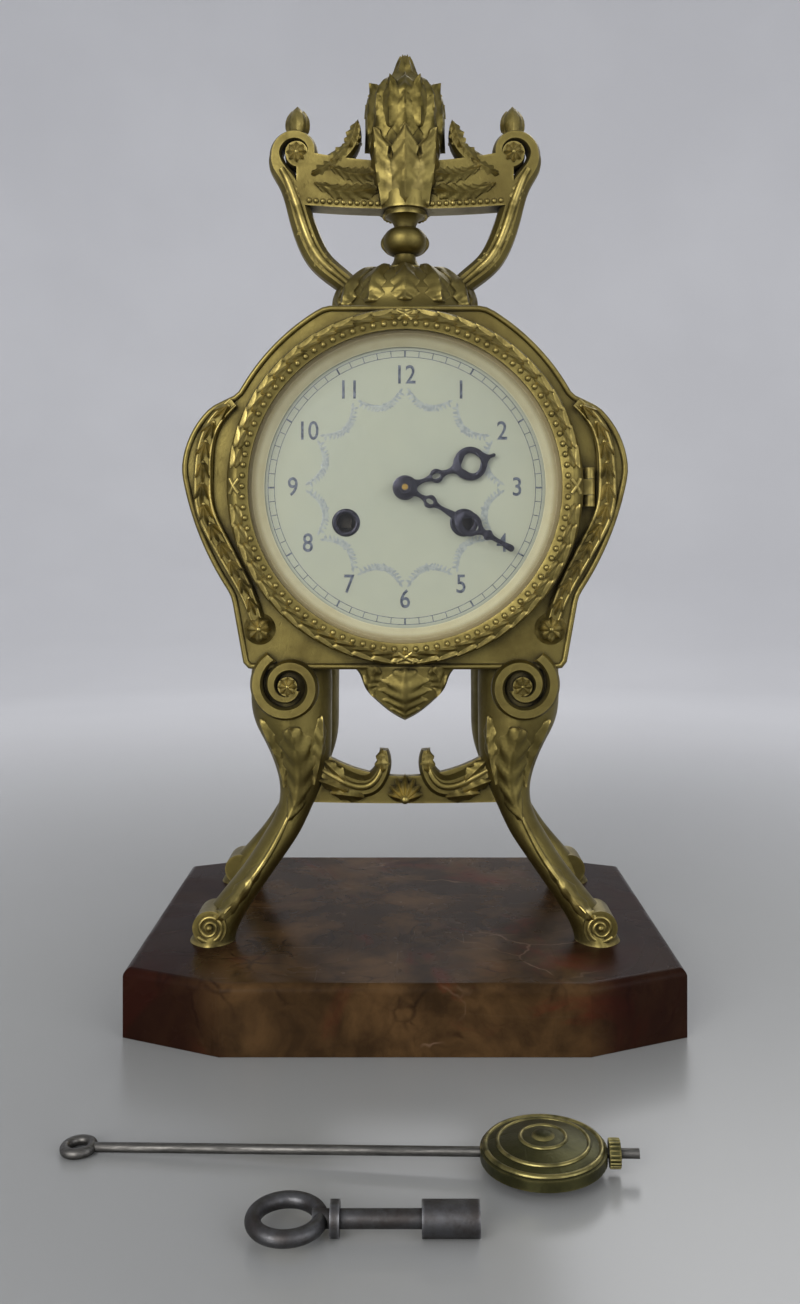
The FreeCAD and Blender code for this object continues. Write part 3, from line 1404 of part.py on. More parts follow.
def make_barrel(label, arbor_label, place, next_place):
    """A spring barrel with its great wheel, the arbor that winds it, and the arbor's ratchet wheel."""
    x, rise = place
    drum_front = train_front + mm.barrel_setback
    drum_back = drum_front + mm.barrel_length
    drum = rod(mm.barrel_radius, on_dial(x, drum_front, rise), on_dial(x, drum_back, rise))
    great = gear(GREAT_TEETH, mm.great_module, on_dial(x, drum_back, rise), mm.great_thickness,
                 turn_to(place, next_place))
    bore = rod(mm.winding_arbor_radius + mm.fit_clearance, on_dial(x, drum_front - mm.cut_overrun, rise),
               on_dial(x, drum_back + mm.great_thickness + mm.cut_overrun, rise))
    add_shape(label, fused([drum, great]).cut(bore))

    ratchet_back = plate_front - mm.part_gap
    ratchet_front = ratchet_back - mm.ratchet_thickness
    teeth = []
    radii = (mm.ratchet_radius, mm.ratchet_radius + mm.ratchet_tooth)
    for index in range(RATCHET_TEETH):
        for radius, share in zip(radii, RATCHET_SHARES):
            corner = step_from(place, radius, 360 * (index + share) / RATCHET_TEETH)
            teeth.append(on_dial(corner[0], ratchet_front, corner[1]))
    ratchet = Part.Face(Part.makePolygon(teeth + teeth[:1])).extrude(BACK * mm.ratchet_thickness)
    shaft = rod(mm.winding_arbor_radius, on_dial(x, ratchet_front, rise),
                on_dial(x, plate_back - mm.arbor_end_shake, rise))
    half = mm.winding_square / 2
    square = block(on_dial(x - half, ratchet_front - mm.winding_square_length, rise - half),
                   on_dial(x + half, ratchet_front, rise + half))
    add_shape(arbor_label, fused([square, ratchet, shaft]))


def make_clicks():
    """A pawl on the front plate beside each ratchet wheel, held just off the teeth."""
    clicks = []
    back = plate_front
    front = plate_front - mm.part_gap - mm.ratchet_thickness
    reach = mm.ratchet_radius + mm.ratchet_tooth + mm.click_gap + mm.click_width / 2
    for place, side, direction in ((going_place, 1, -CLICK_TURN), (strike_place, -1, 180 + CLICK_TURN)):
        x, rise = step_from(place, reach, direction)
        low = on_dial(x - mm.click_width / 2, front, rise - mm.click_length)
        high = on_dial(x + mm.click_width / 2, back, rise)
        bar = block(low, high)
        bar.rotate(on_dial(x, front, rise), BACK, side * CLICK_TURN)
        clicks.append(bar)
    add_shape("ratchet_clicks", Part.makeCompound(clicks))


# Root, tip and heel of an escape tooth, in shares of its pitch
ESCAPE_SHARES = (0.0, 0.55, 0.62)


def make_going_train():
    setback = mm.barrel_setback + mm.barrel_length
    intermediate = arbor(intermediate_place, mm.arbor_radius, mm.pivot_radius)
    intermediate.append(pinion(intermediate_place, GREAT_PINION, mm.great_module, setback, mm.great_thickness,
                               going_place))
    intermediate.append(wheel(intermediate_place, INTERMEDIATE_TEETH, mm.intermediate_module,
                              mm.intermediate_setback, mm.intermediate_thickness, centre_place))
    add_shape("intermediate_wheel", fused(intermediate))

    nose = dial_front - mm.minute_hand_lift - mm.hand_thickness - mm.hand_nut_height
    shoulder_back = train_back - mm.arbor_end_shake
    pivot_end = plate_back - mm.arbor_end_shake
    centre = [rod(mm.centre_arbor_radius, on_dial(0, nose, 0), on_dial(0, shoulder_back, 0)),
              rod(mm.pivot_radius, on_dial(0, shoulder_back, 0), on_dial(0, pivot_end, 0)),
              pinion(centre_place, CENTRE_PINION, mm.intermediate_module, mm.intermediate_setback,
                     mm.intermediate_thickness, intermediate_place),
              wheel(centre_place, CENTRE_TEETH, mm.centre_module, mm.centre_setback, mm.centre_thickness,
                    third_place)]
    add_shape("centre_wheel", fused(centre))

    third = arbor(third_place, mm.fine_arbor_radius, mm.fine_pivot_radius)
    third.append(pinion(third_place, THIRD_PINION, mm.centre_module, mm.centre_setback, mm.centre_thickness,
                        centre_place))
    third.append(wheel(third_place, THIRD_TEETH, mm.third_module, mm.third_setback, mm.third_thickness,
                       escape_place))
    add_shape("third_wheel", fused(third))

    escape = arbor(escape_place, mm.fine_arbor_radius, mm.fine_pivot_radius)
    escape.append(pinion(escape_place, ESCAPE_PINION, mm.third_module, mm.third_setback, mm.third_thickness,
                         third_place))
    corners = []
    root = mm.escape_radius - mm.escape_tooth
    for index in range(ESCAPE_TEETH):
        for radius, share in zip((root, mm.escape_radius, root), ESCAPE_SHARES):
            x, rise = step_from(escape_place, radius, 360 * (index + share) / ESCAPE_TEETH)
            corners.append(on_dial(x, train_front + mm.escape_setback, rise))
    escape.append(Part.Face(Part.makePolygon(corners + corners[:1])).extrude(BACK * mm.escape_thickness))
    add_shape("escape_wheel", fused(escape))


# Degrees to each side over which the anchor spans the escape wheel
ANCHOR_SPREAD = 44


def make_anchor():
    """Pallets that span the escape wheel just clear of its teeth, on an arbor that carries the crutch."""
    front = train_front + mm.escape_setback
    inner = mm.escape_radius + mm.anchor_clearance
    outer = inner + mm.anchor_width

    def on_circle(radius, degrees):
        angle = math.radians(degrees)
        return on_dial(radius * math.sin(angle), front, escape_place[1] + radius * math.cos(angle))

    low = Part.Arc(on_circle(inner, -ANCHOR_SPREAD), on_circle(inner, 0), on_circle(inner, ANCHOR_SPREAD))
    high = Part.Arc(on_circle(outer, ANCHOR_SPREAD), on_circle(outer, 0), on_circle(outer, -ANCHOR_SPREAD))
    ends = [Part.makeLine(low.EndPoint, high.StartPoint), Part.makeLine(high.EndPoint, low.StartPoint)]
    arms = Part.Face(Part.Wire([low.toShape(), ends[0], high.toShape(), ends[1]]))
    arms = arms.extrude(BACK * mm.escape_thickness)
    x, rise = anchor_place
    hub_radius = mm.anchor_distance - inner - mm.anchor_width / 2
    hub = rod(hub_radius, on_dial(x, front, rise), on_dial(x, front + mm.escape_thickness, rise))
    cock_front = plate_back + mm.cock_standoff
    staff = [rod(mm.fine_arbor_radius, on_dial(x, train_front + mm.arbor_end_shake, rise),
                 on_dial(x, cock_front - mm.arbor_end_shake, rise)),
             rod(mm.fine_pivot_radius, on_dial(x, plate_front + mm.arbor_end_shake, rise),
                 on_dial(x, train_front + mm.arbor_end_shake, rise)),
             rod(mm.fine_pivot_radius, on_dial(x, cock_front - mm.arbor_end_shake, rise),
                 on_dial(x, cock_front + mm.cock_thickness - mm.arbor_end_shake, rise))]
    add_shape("pallet_anchor", fused([arms, hub] + staff))

    crutch_front = plate_back + mm.crutch_standoff
    crutch_back = crutch_front + mm.crutch_thickness
    half = mm.crutch_width / 2
    bar = block(on_dial(-half, crutch_front, rise - mm.crutch_length), on_dial(half, crutch_back, rise))
    eye = rod(mm.crutch_width, on_dial(0, crutch_front, rise), on_dial(0, crutch_back, rise))
    pin_rise = rise - mm.crutch_length + half
    pin_end = crutch_back + mm.crutch_pin_length
    pin = rod(half / 2, on_dial(0, crutch_front, pin_rise), on_dial(0, pin_end, pin_rise))
    bore = rod(mm.fine_arbor_radius + mm.fit_clearance, on_dial(0, crutch_front - mm.cut_overrun, rise),
               on_dial(0, crutch_back + mm.cut_overrun, rise))
    add_shape("crutch", fused([bar, eye, pin]).cut(bore))


def make_suspension():
    rise = anchor_place[1]
    leaf_front = plate_back + mm.cock_standoff
    leaf_back = leaf_front + mm.cock_thickness
    half = mm.cock_half_width
    foot_low = rise + mm.cock_foot_rise
    foot_high = foot_low + mm.cock_foot_height
    foot = block(on_dial(-half, plate_back, foot_low), on_dial(half, leaf_back, foot_high))
    leaf = block(on_dial(-half, leaf_front, rise - mm.cock_drop), on_dial(half, leaf_back, foot_high))
    chop_back = leaf_back + mm.chop_thickness
    chop_half = mm.chop_half_width
    chop = block(on_dial(-chop_half, leaf_back, rise + mm.part_gap),
                 on_dial(chop_half, chop_back, rise + mm.part_gap + mm.chop_height))
    bore = rod(mm.fine_pivot_radius + mm.fit_clearance, on_dial(0, leaf_front - mm.cut_overrun, rise),
               on_dial(0, leaf_back + mm.cut_overrun, rise))
    add_shape("pendulum_cock", fused([foot, leaf, chop]).cut(bore))

    middle = (leaf_back + chop_back) / 2
    spring_low = rise - mm.spring_length
    half_strip = mm.spring_thickness / 2
    strip = block(on_dial(-mm.spring_half_width, middle - half_strip, spring_low),
                  on_dial(mm.spring_half_width, middle + half_strip, rise))
    end = block(on_dial(-chop_half, leaf_back + mm.part_gap, spring_low - mm.chop_height),
                on_dial(chop_half, chop_back, spring_low))
    add_shape("suspension_spring", fused([strip, end]))


def make_motion_work():
    back = plate_front - mm.motion_clearance
    front = back - mm.motion_thickness
    cannon_front = dial_front - mm.minute_hand_lift - mm.hand_thickness
    hour_front = dial_front - mm.hour_hand_lift - mm.hand_thickness
    leaves = gear(CANNON_LEAVES, mm.cannon_module, on_dial(0, front, 0), mm.motion_thickness,
                  turn_to(centre_place, minute_wheel_place) + math.pi / CANNON_LEAVES, leaves=True)
    pipe = rod(mm.cannon_pipe_radius, on_dial(0, cannon_front, 0), on_dial(0, back, 0))
    bore = rod(mm.centre_arbor_radius + mm.fit_clearance, on_dial(0, cannon_front - mm.cut_overrun, 0),
               on_dial(0, back + mm.cut_overrun, 0))
    add_shape("cannon_pinion", fused([leaves, pipe]).cut(bore))

    upper_back = front - mm.motion_level_gap
    upper_front = upper_back - mm.motion_thickness
    rise = minute_wheel_place[1]
    wheel_teeth = gear(MINUTE_TEETH, mm.cannon_module, on_dial(0, front, rise), mm.motion_thickness,
                       turn_to(minute_wheel_place, centre_place))
    small = gear(MINUTE_PINION, mm.hour_module, on_dial(0, upper_front, rise), back - upper_front,
                 turn_to(minute_wheel_place, centre_place) + math.pi / MINUTE_PINION, leaves=True)
    bore = rod(mm.arbor_radius + mm.fit_clearance, on_dial(0, upper_front - mm.cut_overrun, rise),
               on_dial(0, back + mm.cut_overrun, rise))
    add_shape("minute_wheel", fused([wheel_teeth, small]).cut(bore))

    hour_teeth = gear(HOUR_TEETH, mm.hour_module, on_dial(0, upper_front, 0), mm.motion_thickness,
                      turn_to(centre_place, minute_wheel_place))
    pipe = rod(mm.hour_pipe_radius, on_dial(0, hour_front, 0), on_dial(0, upper_back, 0))
    bore = rod(mm.cannon_pipe_radius + mm.fit_clearance, on_dial(0, hour_front - mm.cut_overrun, 0),
               on_dial(0, upper_back + mm.cut_overrun, 0))
    add_shape("hour_wheel", fused([hour_teeth, pipe]).cut(bore))


def make_strike_train():
    setback = mm.barrel_setback + mm.barrel_length
    second = arbor(second_place, mm.arbor_radius, mm.pivot_radius)
    second.append(pinion(second_place, GREAT_PINION, mm.great_module, setback, mm.great_thickness,
                         strike_place))
    second.append(wheel(second_place, INTERMEDIATE_TEETH, mm.intermediate_module, mm.intermediate_setback,
                        mm.intermediate_thickness, pin_wheel_place))
    add_shape("strike_second_wheel", fused(second))

    pins = arbor(pin_wheel_place, mm.arbor_radius, mm.pivot_radius)
    pins.append(pinion(pin_wheel_place, CENTRE_PINION, mm.intermediate_module, mm.intermediate_setback,
                       mm.intermediate_thickness, second_place))
    pins.append(wheel(pin_wheel_place, PIN_TEETH, mm.pin_wheel_module, mm.pin_wheel_setback,
                      mm.pin_wheel_thickness, locking_place))
    pin_foot = train_front + mm.pin_wheel_setback + mm.pin_wheel_thickness / 2
    pin_end = train_front + mm.pin_wheel_setback + mm.pin_wheel_thickness + mm.lifting_pin_length
    for index in range(LIFTING_PINS):
        x, rise = step_from(pin_wheel_place, mm.lifting_pin_circle, 360 * index / LIFTING_PINS)
        pins.append(rod(mm.lifting_pin_radius, on_dial(x, pin_foot, rise), on_dial(x, pin_end, rise)))
    add_shape("strike_pin_wheel", fused(pins))

    locking = arbor(locking_place, mm.fine_arbor_radius, mm.fine_pivot_radius)
    locking.append(pinion(locking_place, LOCKING_PINION, mm.pin_wheel_module, mm.pin_wheel_setback,
                          mm.pin_wheel_thickness, pin_wheel_place))
    locking.append(wheel(locking_place, LOCKING_TEETH, mm.locking_module, mm.locking_setback,
                         mm.locking_thickness, fly_place))
    add_shape("strike_locking_wheel", fused(locking))

    fly = arbor(fly_place, mm.fine_arbor_radius, mm.fine_pivot_radius)
    fly.append(pinion(fly_place, FLY_PINION, mm.locking_module, mm.locking_setback, mm.locking_thickness,
                      locking_place))
    x, rise = fly_place
    half = mm.fly_thickness / 2
    vane_front = train_front + mm.fly_setback
    fly.append(block(on_dial(x - mm.fly_half_width, vane_front, rise - half),
                     on_dial(x + mm.fly_half_width, vane_front + mm.fly_length, rise + half)))
    add_shape("strike_fly", fused(fly))


def flat_bar(start, end, width, front, thickness):
    """A straight bar between two places in front of which thickness is counted backwards."""
    length = math.hypot(end[0] - start[0], end[1] - start[1])
    side = ((end[1] - start[1]) / length * width / 2, -(end[0] - start[0]) / length * width / 2)
    corners = [on_dial(place[0] + sign * side[0], front, place[1] + sign * side[1])
               for place, sign in ((start, 1), (end, 1), (end, -1), (start, -1), (start, 1))]
    return Part.Face(Part.makePolygon(corners)).extrude(BACK * thickness)


# Middle of the bell's flank outside and inside, in shares of its height and of its radius there
BELL_SWELL_SHARES = ((0.68, 0.84), (0.62, 0.82))


def make_hammer_and_bell():
    x, rise = hammer_place
    arm_front = plate_back + mm.hammer_standoff
    arm_back = arm_front + mm.hammer_arm_thickness
    rim_front = plate_back + mm.bell_standoff
    head_end = bell_place[0] - mm.bell_radius - mm.hammer_gap
    head_start = head_end - mm.hammer_head_length
    head_rise = bell_place[1]
    head_depth = rim_front + mm.hammer_head_radius / 2
    link_place = (head_start + mm.hammer_arm_width / 2, head_rise)
    shoulder = on_dial(x, train_front + mm.arbor_end_shake, rise)
    staff = [rod(mm.arbor_radius, shoulder, on_dial(x, arm_back, rise)),
             rod(mm.pivot_radius, on_dial(x, plate_front + mm.arbor_end_shake, rise), shoulder)]
    pins_back = train_front + mm.pin_wheel_setback + mm.pin_wheel_thickness
    tail_end = step_from(hammer_place, mm.hammer_tail_length,
                         math.degrees(turn_to(hammer_place, pin_wheel_place)))
    tail = flat_bar(hammer_place, tail_end, mm.hammer_tail_width, pins_back, mm.lifting_pin_length)
    arm = flat_bar(hammer_place, link_place, mm.hammer_arm_width, arm_front, mm.hammer_arm_thickness)
    boss = rod(mm.hammer_arm_width, on_dial(x, arm_front, rise), on_dial(x, arm_back, rise))
    link = rod(mm.hammer_link_radius, on_dial(link_place[0], arm_front, head_rise),
               on_dial(link_place[0], head_depth, head_rise))
    head = rod(mm.hammer_head_radius, on_dial(head_start, head_depth, head_rise),
               on_dial(head_end, head_depth, head_rise))
    add_shape("strike_hammer", fused(staff + [tail, arm, boss, link, head]))

    rim = plate_back_cell + cell.bell_standoff
    crown = rim + cell.bell_height
    bore = cell.bell_post_radius + cell.fit_clearance
    bell = new_body("bell")
    centre_height = cell.dial_height - cell.bell_drop
    sketch = new_sketch(bell, "bell_profile", "YZ_Plane", y=centre_height, z=cell.bell_offset)
    inner_rim = cell.bell_radius - cell.bell_wall
    inner_crown = crown - cell.bell_wall
    outer, inner = ((rim + cell.bell_height * depth_share, radius * radius_share)
                    for radius, (depth_share, radius_share)
                    in zip((cell.bell_radius, inner_rim), BELL_SWELL_SHARES))
    add_outline(sketch, [
        (inner_crown, bore), (crown, bore), (crown, cell.bell_crown_radius),
        (rim, cell.bell_radius, outer), (rim, inner_rim), (inner_crown, cell.bell_crown_radius, inner)])
    add_turning(bell, sketch, "H_Axis")

    x, rise = bell_place
    post_end = float(crown)
    lengths = ((mm.bell_post_shoulder, plate_back, plate_back + mm.bell_wall),
               (mm.bell_post_radius, plate_back, post_end + mm.bell_nut_height),
               (mm.bell_post_shoulder, post_end - 2 * mm.bell_wall, post_end - mm.bell_wall),
               (mm.bell_post_shoulder, post_end, post_end + mm.bell_nut_height))
    add_shape("bell_post", fused([rod(radius, on_dial(x, start, rise), on_dial(x, end, rise))
                                  for radius, start, end in lengths]))


# Pendulum and key, laid on the table in front of the base


def make_pendulum():
    """Rod with a hook at its top, lens bob and rating nut, along +X before they are laid down."""
    hook_reach = 2 * mm.pendulum_hook_radius
    bob_x = mm.pendulum_length
    end = bob_x + mm.bob_radius + mm.rating_nut_length + mm.rating_thread_length
    wire = rod(mm.pendulum_rod_radius, Vector(hook_reach, 0, 0), Vector(end, 0, 0))
    hook = Part.makeTorus(mm.pendulum_hook_radius, mm.pendulum_hook_wire,
                          Vector(mm.pendulum_hook_radius, 0, 0), UP)
    bob_centre = Vector(bob_x, 0, 0)
    swell = mm.bob_half_thickness - mm.bob_edge_half_thickness
    face_radius = (mm.bob_radius ** 2 + swell ** 2) / (2 * swell)
    half_height = UP * mm.bob_half_thickness
    bob = rod(mm.bob_radius, bob_centre - half_height, bob_centre + half_height)
    for side in (1, -1):
        face_centre = bob_centre + UP * (side * (mm.bob_half_thickness - face_radius))
        bob = bob.common(Part.makeSphere(face_radius, face_centre))
    bore = rod(mm.pendulum_rod_radius + mm.fit_clearance, Vector(bob_x - 2 * mm.bob_radius, 0, 0),
               Vector(end + mm.cut_overrun, 0, 0))
    nut_start = bob_x + mm.bob_radius + mm.part_gap
    nut = rod(mm.rating_nut_radius, Vector(nut_start, 0, 0), Vector(nut_start + mm.rating_nut_length, 0, 0))
    drop = mm.bob_half_thickness - mm.pendulum_hook_wire
    tilt = math.degrees(math.asin(drop / bob_x))
    turn = FreeCAD.Rotation(UP, PENDULUM_YAW) * FreeCAD.Rotation(BACK, -tilt)
    hook_foot = Vector(-mm.pendulum_hook_offset, pendulum_y, mm.pendulum_hook_wire)
    place = FreeCAD.Placement(hook_foot, turn)
    for label, shape in (("pendulum_rod", fused([wire, hook])), ("pendulum_bob", bob.cut(bore)),
                         ("rating_nut", nut.cut(bore))):
        piece = add_shape(label, shape)
        piece.Placement = place


def make_key():
    """A winding key along X: square socket at the right, shank, collar and round bow at the left."""
    axis = Vector(mm.key_offset, key_y, mm.key_barrel_radius)

    def along(distance):
        return axis - RIGHT * distance

    barrel = rod(mm.key_barrel_radius, along(0), along(mm.key_barrel_length))
    shank = rod(mm.key_shank_radius, along(0), along(mm.key_length + mm.key_bow_wire))
    collar = rod(mm.key_collar_radius, along(mm.key_length - 2 * mm.key_collar_length),
                 along(mm.key_length - mm.key_collar_length))
    bow = Part.makeTorus(mm.key_bow_radius, mm.key_bow_wire, along(mm.key_length + mm.key_bow_radius), UP)
    half = mm.key_socket_square / 2
    socket = block(along(mm.key_socket_depth) - Vector(0, half, half),
                   along(0) + Vector(mm.cut_overrun, half, half))
    add_shape("winding_key", fused([barrel, shank, collar, bow]).cut(socket))


make_base_slab()
make_legs()
make_leg_screws()
make_apron()
make_pendant()
make_case()
make_shoulder_scrolls()
make_dome_and_baluster()
doc.recompute()
make_gallery()
make_finial()
make_bezel()
make_back_door()
make_hinge_pins()
make_dial()
make_hands()
make_plates()
make_pillars()
make_barrel("going_barrel", "going_winding_arbor", going_place, intermediate_place)
make_barrel("strike_barrel", "strike_winding_arbor", strike_place, second_place)
make_clicks()
make_going_train()
make_anchor()
make_suspension()
make_motion_work()
make_strike_train()
make_hammer_and_bell()
make_pendulum()
make_key()
doc.recompute()

for item in doc.Objects:
    if {"Invalid", "Error"} & set(item.State):
        raise RuntimeError(f"{item.Label} failed: {item.State}")

pieces = [item for item in doc.Objects
          if item.isDerivedFrom("PartDesign::Body")
          or item.isDerivedFrom("Part::Feature") and item.getParentGeoFeatureGroup() is None]
for piece in pieces:
    if piece.Shape.isNull() or not piece.Shape.isValid():
        raise RuntimeError(f"{piece.Label} has no valid shape")

os.makedirs("parts", exist_ok=True)
for piece in pieces:
    piece.Shape.exportStep(f"parts/{piece.Label}.step")
    print(f"{piece.Label}: {len(piece.Shape.Solids)} solid(s), {piece.Shape.Volume:.1f} mm3")
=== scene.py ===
# %% [markdown]
# # A bronze mantel clock, dressed for its portrait
# The clock is already built as a working model: case, legs, dial, wheels and pendulum, each a piece of
# its own. This lesson loads that model as a fixed frame and gives every piece the look of the real thing.
# We could draw the clock again from nothing, but then a wheel could drift away from its arbor. Starting
# from the frame keeps every part where the maker put it.

# %% Load the frame
import json
from collections import namedtuple
from math import atan2, cos, degrees, exp, hypot, pi, radians, sin, sqrt

import bmesh
import bpy
from mathutils import Matrix, Vector
from mathutils.bvhtree import BVHTree


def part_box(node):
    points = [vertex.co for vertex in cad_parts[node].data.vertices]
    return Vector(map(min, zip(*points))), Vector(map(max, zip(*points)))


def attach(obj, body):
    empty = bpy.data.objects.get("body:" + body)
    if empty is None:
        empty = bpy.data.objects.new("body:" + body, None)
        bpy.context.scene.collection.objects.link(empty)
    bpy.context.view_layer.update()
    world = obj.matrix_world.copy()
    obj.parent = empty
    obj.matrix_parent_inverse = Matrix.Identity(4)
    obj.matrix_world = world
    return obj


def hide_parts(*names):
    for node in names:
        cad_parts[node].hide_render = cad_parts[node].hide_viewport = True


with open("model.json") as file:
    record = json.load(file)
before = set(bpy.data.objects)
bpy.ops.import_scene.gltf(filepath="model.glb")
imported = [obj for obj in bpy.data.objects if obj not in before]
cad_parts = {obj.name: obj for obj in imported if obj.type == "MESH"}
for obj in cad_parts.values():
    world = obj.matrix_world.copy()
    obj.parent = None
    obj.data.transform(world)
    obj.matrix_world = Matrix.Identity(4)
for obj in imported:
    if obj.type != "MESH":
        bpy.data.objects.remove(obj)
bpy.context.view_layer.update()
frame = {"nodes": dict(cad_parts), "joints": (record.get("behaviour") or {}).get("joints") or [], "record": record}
nodes = frame["nodes"]
MM = 0.001  # Blender counts in metres, this lesson mostly in millimetres

# %% [markdown]
# ## Where the photographer stood
# The clock was photographed from close by, a little below the dial's centre, with a level camera: upright
# edges stay upright. Tilting the camera would bend them, so we keep it level and slide the picture down
# with the lens shift instead, as a view camera does.

# %% Camera
PHOTO_HEIGHT = 1304  # pixels; the lens shift is counted in shares of it


def show(name, data):
    """Put a new object into the scene."""
    made = bpy.data.objects.new(name, data)
    bpy.context.scene.collection.objects.link(made)
    return made


camera_data = bpy.data.cameras.new("portrait_camera")
camera_data.lens = 31.75
camera_data.shift_x = -5 / PHOTO_HEIGHT
camera_data.shift_y = -107 / PHOTO_HEIGHT
camera_data.clip_start = 0.01
camera = show("portrait_camera", camera_data)
camera.location = (0, -0.388, 0.143)
camera.rotation_euler = (radians(90), 0, 0)
bpy.context.scene.camera = camera
bpy.context.scene.view_settings.view_transform = "Standard"
print("camera stands", round(-camera.location.y / MM), "mm in front of the base's middle")

# %% [markdown]
# ## Shader helpers
# A material is a small network of nodes. Adding and linking them one by one takes many lines, so these
# helpers add a node and fill its sockets in one call. Colours are written as the 0 to 255 values that a
# paint chart would give, and turned into the linear values that the renderer works with.


# %% Helpers for shader nodes
def paint(red, green, blue):
    """A colour from a paint chart, as linear RGBA."""
    shares = [value / 255 for value in (red, green, blue)]
    return (*[s / 12.92 if s <= 0.04045 else ((s + 0.055) / 1.055) ** 2.4 for s in shares], 1)


def fill(tree, socket, value):
    """Link a socket to another one, or give it a plain value."""
    if isinstance(value, bpy.types.NodeSocket):
        tree.links.new(value, socket)
    else:
        socket.default_value = value


def add(tree, kind, settings=None, sockets=None):
    made = tree.nodes.new("ShaderNode" + kind)
    for name, value in (settings or {}).items():
        setattr(made, name, value)
    for name, value in (sockets or {}).items():
        fill(tree, made.inputs[name], value)
    return made


def mixed(tree, share, first, second):
    """One colour laid over another, by a mask."""
    return add(tree, "Mix", {"data_type": "RGBA"}, {0: share, 6: first, 7: second}).outputs[2]


def spread(tree, value, low, high, bottom=0.0, top=1.0):
    """Stretch the values from low to high over bottom to top."""
    made = add(tree, "MapRange", {"interpolation_type": "SMOOTHSTEP"},
               {"Value": value, "From Min": low, "From Max": high, "To Min": bottom, "To Max": top})
    return made.outputs["Result"]


def maths(tree, operation, first, second):
    return add(tree, "Math", {"operation": operation}, {0: first, 1: second}).outputs[0]


def times(tree, first, second):
    return maths(tree, "MULTIPLY", first, second)


def plus(tree, first, second):
    return maths(tree, "ADD", first, second)


def noise(tree, where, scale, detail=3.0, roughness=0.55, distortion=0.0):
    made = add(tree, "TexNoise", None, {"Vector": where, "Scale": scale, "Detail": detail,
                                        "Roughness": roughness, "Distortion": distortion})
    return made.outputs["Fac"]


def borders(tree, where, scale):
    """How far a point lies from the nearest border in a pattern of cells."""
    return add(tree, "TexVoronoi", {"feature": "DISTANCE_TO_EDGE"},
               {"Vector": where, "Scale": scale}).outputs["Distance"]


def stretched(tree, where, scale, turn=(0, 0, 0)):
    """The same coordinates, scaled differently along each axis."""
    return add(tree, "Mapping", None, {"Vector": where, "Scale": scale, "Rotation": turn}).outputs[0]


def object_place(tree):
    return add(tree, "TexCoord").outputs["Object"]


def bumped(tree, height, strength, distance):
    return add(tree, "Bump", None, {"Height": height, "Strength": strength, "Distance": distance}).outputs[0]


def new_finish(name, **plain):
    """A material with one Principled shader; plain values go on the shader's own sockets."""
    finish = bpy.data.materials.new(name)
    finish.use_nodes = True
    shader = finish.node_tree.nodes["Principled BSDF"]
    for socket, value in plain.items():
        shader.inputs[socket.replace("_", " ")].default_value = value
    return finish, finish.node_tree, shader.inputs


def as_object(name, bm, finish):
    """Close a drawing into a smooth object with one finish."""
    bmesh.ops.remove_doubles(bm, verts=bm.verts, dist=1e-6)
    bmesh.ops.recalc_face_normals(bm, faces=bm.faces)
    mesh = bpy.data.meshes.new(name)
    bm.to_mesh(mesh)
    bm.free()
    mesh.shade_smooth()
    mesh.materials.append(finish)
    return show(name, mesh)


print("shader helpers ready")

# %% [markdown]
# ## The table and the light
# The clock stands on a pale grey surface that runs up into a wall without a corner, as paper does in a
# studio. A floor and a wall would show a line between them, so one profile is spun round the clock into a
# shallow bowl: the background is then the same paper from every side. A broad lamp to the left and a weaker
# one to the right give soft light, and the open top lets the sky light in. A honeycomb before each lamp
# narrows its light, so that less of it falls on the paper beside the lamp.

# %% Studio bowl
FLOOR = 0.8  # radius of the flat floor, in metres
BEND = 0.7  # radius of the bend from the floor up to the wall
RIM = 1.5  # height of the wall
SUNK = 0.0001  # the floor lies this far under the pieces that rest on it

profile = [(0.0, 0.0), (FLOOR, 0.0)]
profile += [(FLOOR + BEND * sin(a), BEND - BEND * cos(a)) for a in (0.3, 0.6, 0.9, 1.2, pi / 2)]
profile.append((FLOOR + BEND, RIM))
bm = bmesh.new()
verts = [bm.verts.new((radius, 0, height - SUNK)) for radius, height in profile]
edges = [bm.edges.new(pair) for pair in zip(verts, verts[1:])]
bmesh.ops.spin(bm, geom=verts + edges, cent=(0, 0, 0), axis=(0, 0, 1), angle=2 * pi, steps=96, use_merge=True)
paper, tree, sockets = new_finish("pale_paper", Roughness=0.26, IOR=1.65)
place = object_place(tree)
away = add(tree, "VectorMath", {"operation": "LENGTH"}, {0: place}).outputs["Value"]
# painted shade and light: the paper is dark grey near the clock and grows near white towards the wall
tint = mixed(tree, spread(tree, away, 0.05, 0.75), paint(144, 145, 143), paint(240, 240, 243))
cloud = spread(tree, noise(tree, place, 3.0), 0.3, 0.7)
fill(tree, sockets["Base Color"], mixed(tree, times(tree, cloud, 0.12), tint, paint(176, 175, 180)))
bowl = as_object("studio_bowl", bm, paper)
print("bowl:", len(bowl.data.polygons), "faces")

# %% Lamps and sky
LIT_POINT = Vector((0, 0, 0.14))  # what the lamps face, in metres
HONEYCOMB = radians(100)


def add_lamp(name, place, size, power, tint):
    lamp = bpy.data.lights.new(name, "AREA")
    lamp.size = size
    lamp.spread = HONEYCOMB
    lamp.energy = power
    lamp.color = tint
    holder = show(name, lamp)
    holder.location = place
    holder.rotation_euler = (LIT_POINT - Vector(place)).to_track_quat("-Z", "Y").to_euler()


